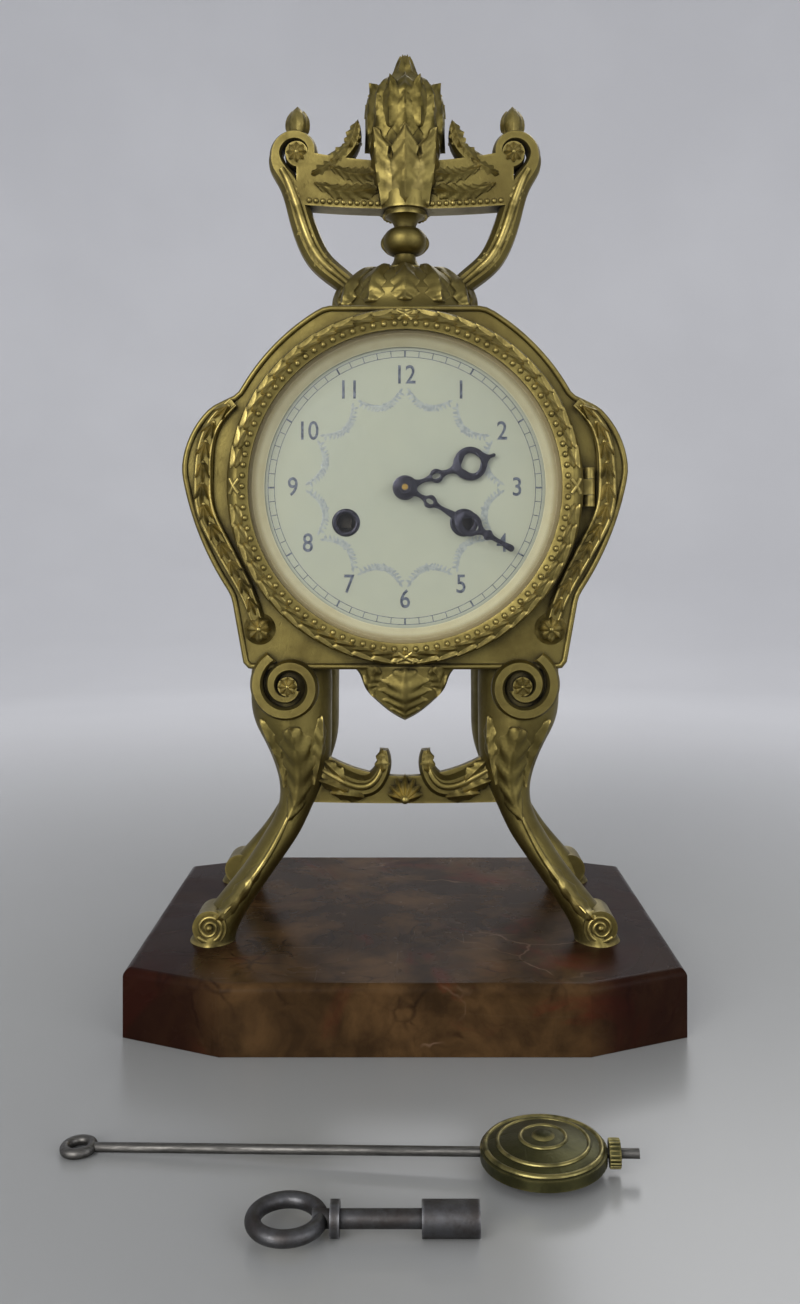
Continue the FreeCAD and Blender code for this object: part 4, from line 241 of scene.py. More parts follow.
add_lamp("left_softbox", (-0.5, -0.95, 0.5), 0.7, 3.0, (1.0, 0.99, 0.97))
add_lamp("right_softbox", (0.75, -0.75, 0.42), 0.8, 1.5, (0.97, 0.98, 1.0))
add_lamp("back_softbox", (0.25, 0.9, 0.9), 0.8, 1.2, (1.0, 1.0, 1.0))
sky = bpy.data.worlds.new("studio_sky")
sky.use_nodes = True
background = sky.node_tree.nodes["Background"].inputs
background["Color"].default_value = (0.95, 0.97, 1.0, 1)
background["Strength"].default_value = 0.5
bpy.context.scene.world = sky
print(len(bpy.data.lights), "lamps")

# %% [markdown]
# ## What age does to a surface, and painted shade
# An old casting is dark in its hollows, where wax and dust stay, and bright on its edges, where hands and
# dusters rub. Here the dark of the hollows is also painted shade: the more closed-in a point is, the darker
# its colour. Painting that by hand would take days. The ambient occlusion node measures how closed-in a
# point is, and turned inside out it finds the edges, so one node group makes both masks, with two kinds of
# grain. A second group makes the marks of handling. Each finish uses the groups with its own values.


# %% Node group for age and painted shade
def new_group(name, inputs, outputs):
    tree = bpy.data.node_groups.new(name, "ShaderNodeTree")
    for label, value in inputs.items():
        socket = tree.interface.new_socket(label, in_out="INPUT", socket_type="NodeSocketFloat")
        socket.default_value = value
    for label in outputs:
        tree.interface.new_socket(label, in_out="OUTPUT", socket_type="NodeSocketFloat")
    return tree, tree.nodes.new("NodeGroupInput").outputs, tree.nodes.new("NodeGroupOutput").inputs


age_and_shade_group, given, result = new_group(
    "age_and_shade_of_a_casting",
    {"Hollow reach": 0.005, "Edge reach": 0.0012, "Blotch scale": 60.0, "Grain scale": 900.0},
    ("Hollow dirt and shade", "Edges", "Blotches", "Grain"))
place = object_place(age_and_shade_group)
closed = add(age_and_shade_group, "AmbientOcclusion", {"samples": 6, "only_local": False},
             {"Distance": given["Hollow reach"]}).outputs["AO"]
# painted shade with dirt: this mask is 1 where a point is most closed-in, and the finishes darken their colour by
# it
fill(age_and_shade_group, result["Hollow dirt and shade"], spread(age_and_shade_group, closed, 0.25, 0.92, 1.0, 0.0))
sharp = add(age_and_shade_group, "AmbientOcclusion", {"samples": 6, "only_local": True, "inside": True},
            {"Distance": given["Edge reach"]}).outputs["AO"]
rubbed = spread(age_and_shade_group, noise(age_and_shade_group, place, 240.0, 2.0), 0.25, 0.6)
fill(age_and_shade_group, result["Edges"], times(age_and_shade_group, spread(age_and_shade_group, sharp, 0.35, 0.9, 1.0, 0.0), rubbed))
blotches = noise(age_and_shade_group, place, given["Blotch scale"], 5.0, 0.62)
fill(age_and_shade_group, result["Blotches"], spread(age_and_shade_group, blotches, 0.36, 0.68))
fill(age_and_shade_group, result["Grain"], noise(age_and_shade_group, place, given["Grain scale"], 4.0, 0.6))
print("node group:", age_and_shade_group.name)

# %% Node group for handling
handling_group, given, result = new_group(
    "handling_marks", {"Smudge scale": 40.0, "Scratch scale": 500.0}, ("Smudges", "Scratches"))
place = object_place(handling_group)
smudge = noise(handling_group, place, given["Smudge scale"], 4.0, 0.6, 0.6)
fill(handling_group, result["Smudges"], spread(handling_group, smudge, 0.42, 0.66))
scratches = 0.0
for turn, stretch in ((0.5, (1, 0.03, 0.5)), (-0.9, (0.04, 1, 0.5)), (1.9, (0.5, 0.5, 0.03))):
    drawn = stretched(handling_group, place, stretch, (turn, turn * 0.6, turn * 1.3))
    lines = noise(handling_group, drawn, given["Scratch scale"], 2.0, 0.5)
    scratches = maths(handling_group, "MAXIMUM", scratches, spread(handling_group, lines, 0.66, 0.74))
fill(handling_group, result["Scratches"], scratches)
print("node group:", handling_group.name)

# %% [markdown]
# ## Bronze
# The case is cast bronze under old gold lacquer that has gone olive and brown. A plain gold colour would
# look new, so four tones are laid over each other by the age masks: olive lacquer, brown blotches, near
# black in the hollows, which is wax and dust and also painted shade, and bare yellow metal on the edges. The
# same function makes the other aged metals, each with its own four tones.


# %% Aged metals
def aged_metal(name, tones, roughness, reach, grain, metallic=1.0):
    """tones: lacquer, blotches, hollows (wax, dust and painted shade), bare edges; reach in mm: hollows, edges;
    grain: blotches, pits.
    """
    finish, tree, sockets = new_finish(name)
    age_and_shade = add(tree, "Group", {"node_tree": age_and_shade_group},
              {"Hollow reach": reach[0] * MM, "Edge reach": reach[1] * MM,
               "Blotch scale": grain[0], "Grain scale": grain[1]}).outputs
    marks = add(tree, "Group", {"node_tree": handling_group}).outputs
    lacquer, blotch, hollow_dirt_and_shade, bare = (paint(*tone) for tone in tones)
    colour = mixed(tree, times(tree, age_and_shade["Blotches"], 0.75), lacquer, blotch)
    # painted shade with dirt: the colour goes to the near-black hollow tone where a point is closed-in
    colour = mixed(tree, age_and_shade["Hollow dirt and shade"], colour, hollow_dirt_and_shade)
    fill(tree, sockets["Base Color"], mixed(tree, age_and_shade["Edges"], colour, bare))
    dull = roughness
    for mask, share in ((age_and_shade["Hollow dirt and shade"], 0.25), (age_and_shade["Blotches"], 0.12), (marks["Scratches"], 0.1),
                        (age_and_shade["Edges"], -0.1)):
        dull = plus(tree, dull, times(tree, mask, share))
    fill(tree, sockets["Roughness"], dull)
    fill(tree, sockets["Metallic"], spread(tree, age_and_shade["Hollow dirt and shade"], 0.0, 1.0, metallic, metallic * 0.6))
    relief = plus(tree, age_and_shade["Grain"], times(tree, marks["Scratches"], -0.5))
    fill(tree, sockets["Normal"], bumped(tree, relief, 0.18, 0.0004))
    return finish


# the third tone of each metal is its hollows: wax and dust, and painted shade
bronze = aged_metal("aged_bronze", ((123, 111, 63), (90, 79, 44), (31, 25, 11), (162, 146, 88)),
                    0.4, (5.0, 1.3), (55.0, 1100.0))
bell_bronze = aged_metal("bell_bronze", ((196, 160, 92), (158, 124, 66), (70, 52, 26), (226, 196, 128)),
                         0.24, (4.0, 0.8), (70.0, 700.0))
bob_brass = aged_metal("bob_brass", ((78, 76, 48), (52, 52, 34), (24, 22, 12), (142, 132, 84)),
                       0.38, (3.0, 0.9), (90.0, 900.0))
key_iron = aged_metal("key_iron", ((92, 92, 94), (62, 56, 52), (26, 23, 21), (150, 150, 154)),
                      0.42, (3.0, 0.8), (160.0, 1300.0))
hand_steel = aged_metal("blackened_steel", ((44, 44, 52), (34, 32, 38), (14, 13, 15), (92, 92, 104)),
                        0.3, (1.5, 0.35), (180.0, 1500.0))
gilt = aged_metal("gilt_brass", ((214, 206, 172), (202, 190, 150), (150, 134, 92), (226, 220, 190)),
                  0.4, (3.0, 0.7), (80.0, 900.0), 0.35)
# painted shade: the finial's bronze is darker in every tone than the case's
finial_bronze_with_painted_shade = aged_metal("shaded_bronze", ((97, 87, 45), (70, 61, 31), (24, 19, 8), (128, 115, 64)),
                           0.44, (5.0, 1.3), (55.0, 1100.0))
print("aged metals:", [m.name for m in bpy.data.materials])

# %% [markdown]
# ## Brass and steel of the movement
# Inside the case the plates and wheels are brass, finished with a file and a stone, so fine straight lines
# run across them. Arbors, pinions and springs are polished steel. The lines come from noise stretched far
# along one axis; a picture of brushed metal would blur when someone looks closely.

# %% Brushed metals
LINE_SCALE = 1800.0


def brushed_metal(name, bright, dull, roughness, along):
    finish, tree, sockets = new_finish(name, Metallic=1.0)
    age_and_shade = add(tree, "Group", {"node_tree": age_and_shade_group},
              {"Hollow reach": 2.5 * MM, "Edge reach": 0.5 * MM, "Blotch scale": 90.0,
               "Grain scale": 1200.0}).outputs
    lines = noise(tree, stretched(tree, object_place(tree), along), LINE_SCALE, 3.0, 0.7)
    colour = mixed(tree, spread(tree, lines, 0.3, 0.7), paint(*bright), paint(*dull))
    # painted shade with dirt: a third as bright in the closed-in hollows
    colour = mixed(tree, times(tree, age_and_shade["Hollow dirt and shade"], 0.7), colour, paint(*[c // 3 for c in dull]))
    colour = mixed(tree, times(tree, age_and_shade["Blotches"], 0.35), colour, paint(*[c * 3 // 4 for c in dull]))
    fill(tree, sockets["Base Color"], colour)
    rough = spread(tree, lines, 0.3, 0.7, roughness, roughness + 0.14)
    fill(tree, sockets["Roughness"], plus(tree, rough, times(tree, age_and_shade["Blotches"], 0.1)))
    fill(tree, sockets["Normal"], bumped(tree, lines, 0.12, 0.0002))
    return finish


movement_brass = brushed_metal("movement_brass", (212, 178, 98), (180, 146, 74), 0.26, (0.05, 1, 1))
movement_steel = brushed_metal("movement_steel", (176, 178, 182), (142, 144, 150), 0.24, (1, 0.06, 1))
rod_steel = brushed_metal("dull_rod_steel", (118, 116, 112), (86, 84, 82), 0.36, (0.06, 1, 1))
# painted shade: near-black steel for the winding arbors, giving the dark inside the winding holes
arbor_steel_with_painted_shade = brushed_metal("arbor_steel_with_painted_shade", (52, 48, 42), (34, 32, 28), 0.4, (1, 0.06, 1))
print("brushed metals ready")

# %% [markdown]
# ## Marble
# The base is polished griotte, a dark red-brown limestone with cherry clouds, near-black seams and a few
# pale threads. Clouds come from soft noise; the seams follow the borders of a Voronoi pattern whose
# coordinates are first bent by noise, so that no border stays straight. Towards both ends, over the canted
# faces, the colour darkens to red-black: that is painted shade. A century of dusting has dulled the polish,
# so the gloss is kept low.

# %% Griotte marble
marble, tree, sockets = new_finish("griotte_marble", Specular_IOR_Level=0.03)
place = object_place(tree)
bend = add(tree, "TexNoise", None, {"Vector": place, "Scale": 28.0, "Detail": 4.0}).outputs["Color"]
shifted = add(tree, "VectorMath", {"operation": "MULTIPLY_ADD"},
              {0: bend, 1: (0.030, 0.030, 0.030), 2: place}).outputs[0]
clouds = spread(tree, noise(tree, shifted, 42.0, 7.0, 0.62), 0.36, 0.70)
ground = mixed(tree, clouds, paint(46, 33, 20), paint(84, 62, 38))
cherry = spread(tree, noise(tree, place, 24.0, 5.0, 0.6, 1.4), 0.54, 0.70)
ground = mixed(tree, times(tree, cherry, 0.55), ground, paint(84, 32, 22))
seams = borders(tree, shifted, 90.0)
seam = times(tree, spread(tree, seams, 0.0, 0.09, 0.6, 0.0),
             spread(tree, noise(tree, place, 70.0, 4.0), 0.46, 0.66))
ground = mixed(tree, seam, ground, paint(20, 13, 10))
threads = borders(tree, stretched(tree, shifted, (1, 1.6, 0.8), (0.4, 0.9, 0.3)), 21.0)
broken = spread(tree, noise(tree, place, 26.0, 4.0), 0.54, 0.70)
thread = times(tree, spread(tree, threads, 0.0, 0.012, 1.0, 0.0), broken)
ground = mixed(tree, times(tree, thread, 0.5), ground, paint(150, 122, 100))
# painted shade: the colour darkens to red-black towards both ends of the slab, over the canted faces
end = maths(tree, "ABSOLUTE", add(tree, "SeparateXYZ", None, {"Vector": place}).outputs["X"], 0.0)
ground = mixed(tree, spread(tree, end, 0.044, 0.064, 0.0, 0.84), ground, paint(30, 13, 10))
fill(tree, sockets["Base Color"], ground)
marks = add(tree, "Group", {"node_tree": handling_group}, {"Smudge scale": 24.0}).outputs
rough = plus(tree, times(tree, marks["Smudges"], 0.14), 0.2)
fill(tree, sockets["Roughness"], plus(tree, rough, times(tree, marks["Scratches"], 0.08)))
fill(tree, sockets["Normal"], bumped(tree, seams, 0.05, 0.0003))
print("marble:", len(tree.nodes), "nodes")

# %% [markdown]
# ## Enamel, dial paint and glass
# The dial is copper covered with white vitreous enamel: glossy and a little uneven, with a few hairline
# cracks. The numerals are fired blue-black paint, the garlands a thin grey-blue. The glass over the dial
# would throw a dark, noisy shadow on it if it were traced as thick glass, so its shader lets light straight
# through for shadow rays and diffuse rays.

# %% Enamel and dial paint
enamel, tree, sockets = new_finish("white_enamel", Coat_Weight=0.6, Coat_Roughness=0.05)
place = object_place(tree)
cloud = spread(tree, noise(tree, place, 30.0, 4.0, 0.6), 0.35, 0.7)
tint = mixed(tree, cloud, paint(170, 172, 153), paint(161, 164, 147))
cracks = borders(tree, stretched(tree, place, (1, 0.1, 1)), 26.0)
few = spread(tree, noise(tree, place, 18.0, 2.0), 0.56, 0.66)
hair = times(tree, spread(tree, cracks, 0.0, 0.004, 0.35, 0.0), few)
fill(tree, sockets["Base Color"], mixed(tree, hair, tint, paint(120, 112, 96)))
fill(tree, sockets["Roughness"], spread(tree, cloud, 0.0, 1.0, 0.14, 0.24))
fill(tree, sockets["Normal"], bumped(tree, noise(tree, place, 160.0, 2.0), 0.05, 0.0004))


def make_dial_paint(name, deep, thin):
    finish, tree, sockets = new_finish(name)
    worn = spread(tree, noise(tree, object_place(tree), 600.0, 4.0, 0.65), 0.35, 0.75)
    fill(tree, sockets["Base Color"], mixed(tree, worn, paint(*deep), paint(*thin)))
    fill(tree, sockets["Roughness"], spread(tree, worn, 0.0, 1.0, 0.25, 0.45))
    return finish


dial_paint = make_dial_paint("dial_paint", (58, 64, 80), (96, 102, 116))
garland_paint = make_dial_paint("garland_paint", (134, 140, 140), (154, 158, 148))
print("enamel and two paints")

# %% Glass
crystal, tree, sockets = new_finish("crystal", Transmission_Weight=1.0, IOR=1.45)
sockets["Base Color"].default_value = (0.985, 0.99, 0.985, 1)
marks = add(tree, "Group", {"node_tree": handling_group}, {"Smudge scale": 30.0}).outputs
fill(tree, sockets["Roughness"], times(tree, marks["Smudges"], 0.03))
clear = add(tree, "BsdfTransparent", None, {"Color": (0.97, 0.98, 0.97, 1)})
rays = add(tree, "LightPath").outputs
passing = maths(tree, "MAXIMUM", rays["Is Shadow Ray"], rays["Is Diffuse Ray"])
joined = add(tree, "MixShader", None, {0: passing, 1: tree.nodes["Principled BSDF"].outputs[0],
                                       2: clear.outputs[0]})
tree.links.new(joined.outputs[0], tree.nodes["Material Output"].inputs["Surface"])
print(len(bpy.data.materials), "finishes in all")

# %% [markdown]
# ## Dressing the pieces that keep their shape
# Most pieces already have the right form: the slab, the plates, every wheel and pinion. They only need
# their finish. The record names a material slot for each node, so one table from slot to finish dresses
# them all, and no piece is forgotten. Four pieces then get a finish of their own.

# %% Finishes for the frame's own pieces
finish_of_slot = {
    "aged_bronze": bronze, "movement_brass": movement_brass, "movement_steel": movement_steel,
    "red_marble": marble, "gilt_sight": gilt, "crystal": crystal, "white_enamel": enamel,
    "blackened_hands": hand_steel, "bell_metal": bell_bronze, "dark_bob_brass": bob_brass,
    "dark_key_iron": key_iron,
}
slot_of_node = {part["node"]: part["material_slot"] for part in frame["record"]["subparts"]}
own_finish = {"pendulum_rod": rod_steel, "going_winding_arbor": arbor_steel_with_painted_shade,
              "strike_winding_arbor": arbor_steel_with_painted_shade, "rating_nut": bob_brass}
for name, item in nodes.items():
    item.data.materials.clear()
    item.data.materials.append(own_finish.get(name) or finish_of_slot[slot_of_node[name]])
print(len(slot_of_node), "pieces dressed")

# %% [markdown]
# ## Modelling helpers
# The chaser's ornaments repeat a few shapes: turned rings, beads, tapering ribs and lobed leaves. A leaf
# could be modelled once and bent by modifiers, but it has to lie on very different grounds: a leg, a dome,
# a ring. So a flat grid is drawn into a leaf, and a `place` function carries each of its points onto the
# ground, found with a search tree over the carrying piece's own surface.

# %% Helpers that finish a piece and find the ground
SHARP = radians(55)  # edges that bend by more than this stay crisp


def finish_piece(name, bm, body="clock_frame", slot="aged_bronze", finish=None, stands_for=()):
    made = as_object(name, bm, finish or finish_of_slot[slot])
    made.data.set_sharp_from_angle(angle=SHARP)
    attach(made, body)
    if stands_for:
        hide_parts(*stands_for)
    print(f"{name}: {len(made.data.polygons)} faces")


def mm(x, y, z):
    return Vector((x, y, z)) * MM


def ground_of(*names):
    """A search tree over the surfaces of some pieces of the frame."""
    bm = bmesh.new()
    for name in names:
        bm.from_mesh(nodes[name].data)
    tree = BVHTree.FromBMesh(bm)
    bm.free()
    return tree


def along_path(points, share):
    """A point on a smooth line through the given points, and the line's direction there."""
    last = len(points) - 1
    position = min(max(share, 0.0), 1.0) * last
    index = min(int(position), last - 1)
    t = position - index
    before, start, end, after = (points[min(max(index + step, 0), last)] for step in (-1, 0, 1, 2))
    bend_in = (end - before) / 2
    bend_out = (after - start) / 2
    spot = ((2 * t ** 3 - 3 * t ** 2 + 1) * start + (t ** 3 - 2 * t ** 2 + t) * bend_in
            + (3 * t ** 2 - 2 * t ** 3) * end + (t ** 3 - t ** 2) * bend_out)
    way = ((6 * t ** 2 - 6 * t) * (start - end) + (3 * t ** 2 - 4 * t + 1) * bend_in
           + (3 * t ** 2 - 2 * t) * bend_out)
    return spot, way.normalized()


def evenly(loop, count):
    """Points spaced evenly along a row of points."""
    lengths = [0.0]
    for start, end in zip(loop, loop[1:]):
        lengths.append(lengths[-1] + (end - start).length)
    spots, index = [], 0
    for number in range(count):
        reach = lengths[-1] * number / count
        while lengths[index + 1] < reach:
            index += 1
        share = (reach - lengths[index]) / max(lengths[index + 1] - lengths[index], 1e-9)
        spots.append(loop[index].lerp(loop[index + 1], share))
    return spots


def turns(count, shift=0.0):
    """Angles spaced evenly round a circle."""
    return [2 * pi * (number + shift) / count for number in range(count)]


def way_at(turn):
    """The level direction at an angle round an upright axis, counted from the front."""
    return Vector((sin(turn), -cos(turn), 0))


def round_axis(axis, turn, radius, height):
    """A point round an upright axis, by its radius and height in millimetres."""
    return axis + way_at(turn) * radius * MM + mm(0, 0, height)


dial_low, dial_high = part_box("dial")
dial_height = (dial_low.z + dial_high.z) / 2
dial_centre = Vector((0, dial_low.y, dial_height))
case_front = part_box("front_panel")[0].y
case_middle = (case_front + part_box("rear_panel")[1].y) / 2
case_axis = Vector((0, case_middle, 0))
print("dial", round(dial_height / MM, 1), "mm up; case middle at depth", round(case_middle / MM, 1))

# %% Helpers that draw beads, turnings and ribs
HALF_ROUND = [pi * step / 8 for step in range(9)]


def add_bead(bm, centre, radius, detail=(8, 6)):
    bmesh.ops.create_uvsphere(bm, u_segments=detail[0], v_segments=detail[1], radius=radius * MM,
                              matrix=Matrix.Translation(centre))


def half_round(radius, wide, high, base=0.0):
    """The outline of a half-round ring, as (radius, height) pairs."""
    return [(radius + wide * cos(a), base + high * sin(a)) for a in HALF_ROUND]


def add_turning(bm, outline, centre, axis, steps, closed=True):
    """Spin an outline of (radius, height) pairs, in millimetres, about an axis."""
    axis = Vector(axis).normalized()
    side = axis.orthogonal().normalized()
    verts = [bm.verts.new(centre + (side * radius + axis * height) * MM) for radius, height in outline]
    pairs = list(zip(verts, verts[1:])) + ([(verts[-1], verts[0])] if closed else [])
    edges = [bm.edges.new(pair) for pair in pairs]
    bmesh.ops.spin(bm, geom=verts + edges, cent=centre, axis=axis, angle=2 * pi, steps=steps, use_merge=True)


def take_mesh(bm, data, move=Matrix.Identity(4)):
    """Turn a curve or a text into mesh, put it in its place and drop the curve."""
    holder = bpy.data.objects.new("drawn", data)
    mesh = bpy.data.meshes.new_from_object(holder)
    mesh.transform(move)
    bm.from_mesh(mesh)
    bpy.data.objects.remove(holder)
    bpy.data.curves.remove(data)
    bpy.data.meshes.remove(mesh)


def add_rib(bm, points, thickness, shares=(1, 1), round_cells=3, cells=6):
    """A round rib along a smooth line; its thickness follows the shares from end to end."""
    data = bpy.data.curves.new("rib", "CURVE")
    data.dimensions = "3D"
    data.bevel_depth = thickness * MM
    data.bevel_resolution = round_cells
    data.use_fill_caps = True
    data.resolution_u = cells
    line = data.splines.new("NURBS")
    line.points.add(len(points) - 1)
    for number, point in enumerate(points):
        position = number / (len(points) - 1) * (len(shares) - 1)
        index = min(int(position), len(shares) - 2)
        line.points[number].co = (*point, 1)
        line.points[number].radius = shares[index] + (shares[index + 1] - shares[index]) * (position - index)
    line.use_endpoint_u = True
    line.order_u = 3
    take_mesh(bm, data)


print("beads, turnings and ribs ready")

# %% [markdown]
# ## A pattern book of leaves
# A founder keeps wooden patterns and presses them into the sand wherever a leaf is wanted. Each row here is
# such a pattern: how many lobes, how high its belly and its middle rib stand, how deep the notches between
# the lobes are, how thick it is, how fine its grid is (across, along) and how far its tip curls up. Lengths
# are in millimetres. Typing these numbers at every leaf would hide which leaves belong together.

# %% Leaf patterns
Leaf = namedtuple("Leaf", "lobes belly rib deep thick cells curl", defaults=(0.0,))
LEAVES = {
    "knee": Leaf(5, 1.0, 0.7, 0.4, 1.0, (12, 30)),
    "leg_side": Leaf(4, 0.8, 0.5, 0.35, 0.8, (8, 20)),
    "toe": Leaf(4, 0.9, 0.6, 0.4, 0.8, (8, 20)),
    "scroll": Leaf(3, 1.0, 0.5, 0.35, 0.8, (6, 12)),
    "shell": Leaf(1, 1.3, 0.4, 0.1, 0.8, (4, 10)),
    "pendant": Leaf(5, 1.0, 0.8, 0.38, 0.7, (12, 30)),
    "pendant_side": Leaf(4, 0.8, 0.5, 0.35, 0.7, (8, 18)),
    "husk": Leaf(1, 1.1, 0.4, 0.1, 0.5, (4, 8)),
    "case_upper": Leaf(6, 1.8, 1.2, 0.42, 0.9, (16, 40)),
    "case_lower": Leaf(4, 1.8, 1.2, 0.42, 0.9, (16, 40)),
    "case_slip": Leaf(5, 1.2, 0.7, 0.4, 0.9, (8, 26)),
    "dome": Leaf(4, 1.0, 0.7, 0.3, 0.8, (10, 24), 0.5),
    "bracket": Leaf(4, 1.2, 0.6, 0.35, 0.9, (6, 14)),
    "rail": Leaf(6, 1.3, 0.7, 0.36, 0.9, (8, 26)),
    "bud": Leaf(1, 0.6, 0.4, 0.1, 0.4, (4, 8), 0.3),
    "cup": Leaf(4, 1.1, 1.0, 0.28, 0.9, (12, 32), 0.6),
    "finial": Leaf(3, 0.9, 0.7, 0.26, 0.8, (8, 22)),
    "laurel": Leaf(1, 0.5, 0.3, 0.08, 0.5, (6, 10)),
    "painted": Leaf(1, 0.04, 0.0, 0.1, 0.06, (2, 4)),
    "painted_petal": Leaf(1, 0.05, 0.0, 0.1, 0.06, (2, 4)),
    "door": Leaf(3, 0.9, 0.5, 0.3, 0.5, (6, 14)),
}
ROOT = 2.4  # how far a leaf goes into its ground, in thicknesses
print(len(LEAVES), "leaf patterns")


# %% Helpers that draw leaves and lay them on a ground
def leaf_width(along):
    """Half width of a plain leaf from its stalk (0) to its tip (1); both ends stay just short of a point."""
    return 0.04 + 0.96 * max(sin(pi * min(max(along, 0.0), 1.0) ** 0.72), 0.0) ** 0.72


def add_leaf(bm, place, leaf):
    """A lobed leaf drawn on a grid. place(along, across, rise) puts each of its points on the ground."""
    drawn = bm.verts.layers.float_vector.get("drawn") or bm.verts.layers.float_vector.new("drawn")
    front = bmesh.ops.create_grid(bm, x_segments=leaf.cells[0], y_segments=leaf.cells[1], size=1)["verts"]
    for vert in front:
        across, along = vert.co.x, (vert.co.y + 1) / 2
        notch = 0.5 - 0.5 * cos(2 * pi * leaf.lobes * (along - 0.16 * (1 - abs(across))))
        width = leaf_width(along) * (1 - leaf.deep * notch * abs(across))
        rise = leaf.belly * (1 - across * across) + leaf.rib * exp(-(across / 0.16) ** 2) * (1 - along)
        rise -= 0.5 * leaf.belly * notch * sin(pi * abs(across))
        vert[drawn] = (along, across * width, rise + leaf.curl * along ** 3)
    faces = list(dict.fromkeys(face for vert in front for face in vert.link_faces))
    grown = bmesh.ops.extrude_face_region(bm, geom=faces, use_keep_orig=True)["geom"]
    back = [item for item in grown if isinstance(item, bmesh.types.BMVert)]
    for verts, depth in ((front, 0.0), (back, leaf.thick * ROOT)):
        for vert in verts:
            along, across, rise = vert[drawn]
            vert.co = place(along, across, (rise - depth) * MM)


def on_ground(tree, points, half_width, outward):
    """Lay a leaf along a line, pressed onto the nearest surface; outward points away from it.
    The normals of four near points are averaged, so that the leaf bends softly over an edge."""
    outward = Vector(outward)
    near = 1.4 * MM

    def place(along, across, rise):
        spot, way = along_path(points, along)
        side = way.cross(outward).normalized()
        spot = spot + side * across * half_width * MM
        up = outward.normalized()
        for step in (way, -way, side, -side):
            normal = tree.find_nearest(spot + step * near)[1]
            up = up + (normal if normal.dot(outward) > -0.2 else -normal)
        return tree.find_nearest(spot)[0] + up.normalized() * rise

    return place


def on_face(centre, angle, length, half_width, facing=-1):
    """Lay a leaf on an upright flat face; its angle, in degrees, runs clockwise from up."""
    turn = radians(angle)
    way = Vector((sin(turn), 0, cos(turn)))
    side = Vector((way.z, 0, -way.x))

    def place(along, across, rise):
        flat = way * along * length + side * across * half_width
        return centre + flat * MM + Vector((0, facing * rise, 0))

    return place


def on_turned(axis, rows, turn, half_width):
    """Lay a leaf up the side of a turned piece, whose outline is rows of (radius, height) in millimetres."""
    outline = [mm(radius, 0, height) for radius, height in rows]

    def place(along, across, rise):
        spot, way = along_path(outline, along)
        spot = spot + Vector((way.z, 0, -way.x)) * rise
        angle = turn + across * half_width * MM / max(spot.x, 2.2 * MM)
        return axis + Vector((spot.x * sin(angle), -spot.x * cos(angle), spot.z))

    return place


def add_rosette(bm, centre, radius, rise, facing=-1):
    """A flower in low relief on an upright face: eight petals round a bead."""
    petal = Leaf(1, rise, rise * 0.3, 0.15, 0.4, (4, 6))
    for number in range(8):
        add_leaf(bm, on_face(centre, 45 * number, radius, radius * 0.42, facing), petal)
    add_bead(bm, centre + mm(0, facing * rise * 0.6, 0), radius * 0.26, (12, 8))


print("leaf helpers ready")

# %% [markdown]
# ## Legs
# Each leg is a cabriole: a volute at the knee, a waist, and a foot that kicks out and rolls under. The
# founder cast it with an acanthus leaf over the knee, a raised spine down the shin, a flower in the
# volute's eye and a spiral on the rolled toe. All of it is made on the front right leg and mirrored to the
# other three, as a founder would use one pattern.

# %% Leaves, spines and rolled toes of the legs
leg_ground = ground_of("front_right_leg")
leg_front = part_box("front_right_leg")[0].y
TOE = (60.0, 25.5)  # middle of the rolled toe, width and height
TOE_FACES = (-35.5, -22.5)
SPIRAL_STEPS = 29


def on_leg(*rows):
    """Points on the leg's front, by width and height in millimetres."""
    points = []
    for x, z in rows:
        hit = leg_ground.ray_cast(Vector((x * MM, leg_front - 0.05, z * MM)), Vector((0, 1, 0)))[0]
        points.append(hit or leg_ground.find_nearest(Vector((x * MM, leg_front, z * MM)))[0])
    return points


def in_four(bm, middle_depth):
    """Mirror the front right leg's ornament onto the other three legs."""
    for axis, plane in ((0, 0.0), (1, middle_depth)):
        copy = bmesh.ops.duplicate(bm, geom=bm.verts[:] + bm.edges[:] + bm.faces[:])["geom"]
        for vert in (item for item in copy if isinstance(item, bmesh.types.BMVert)):
            vert.co[axis] = 2 * plane - vert.co[axis]
        bmesh.ops.reverse_faces(bm, faces=[item for item in copy if isinstance(item, bmesh.types.BMFace)])


bm = bmesh.new()
for leaf, half_width, outward, rows in (
        ("knee", 7.6, (0, -1, 0), ((35.8, 86.0), (34.2, 79.0), (33.4, 71.0), (34.2, 63.0), (37.0, 56.0))),
        ("leg_side", 3.4, (0.5, -0.8, 0), ((45.2, 88.0), (42.6, 81.0), (39.8, 74.0), (38.2, 66.0))),
        ("leg_side", 3.0, (-0.5, -0.8, 0), ((26.8, 89.0), (26.6, 82.0), (27.4, 75.0), (29.2, 67.0))),
        ("toe", 4.4, (0.2, -0.8, 0.5), ((58.0, 28.0), (53.0, 32.4), (48.0, 38.5), (44.0, 44.0)))):
    add_leaf(bm, on_ground(leg_ground, on_leg(*rows), half_width, outward), LEAVES[leaf])
shin = on_leg((37.0, 57.0), (40.0, 50.5), (44.2, 43.5), (49.2, 37.0), (53.6, 31.8), (57.0, 28.5))
add_rib(bm, shin, 1.1, (0.6, 1.0, 0.8, 0.5))
add_rosette(bm, on_leg((36.5, 99.0))[0], 3.0, 0.8)
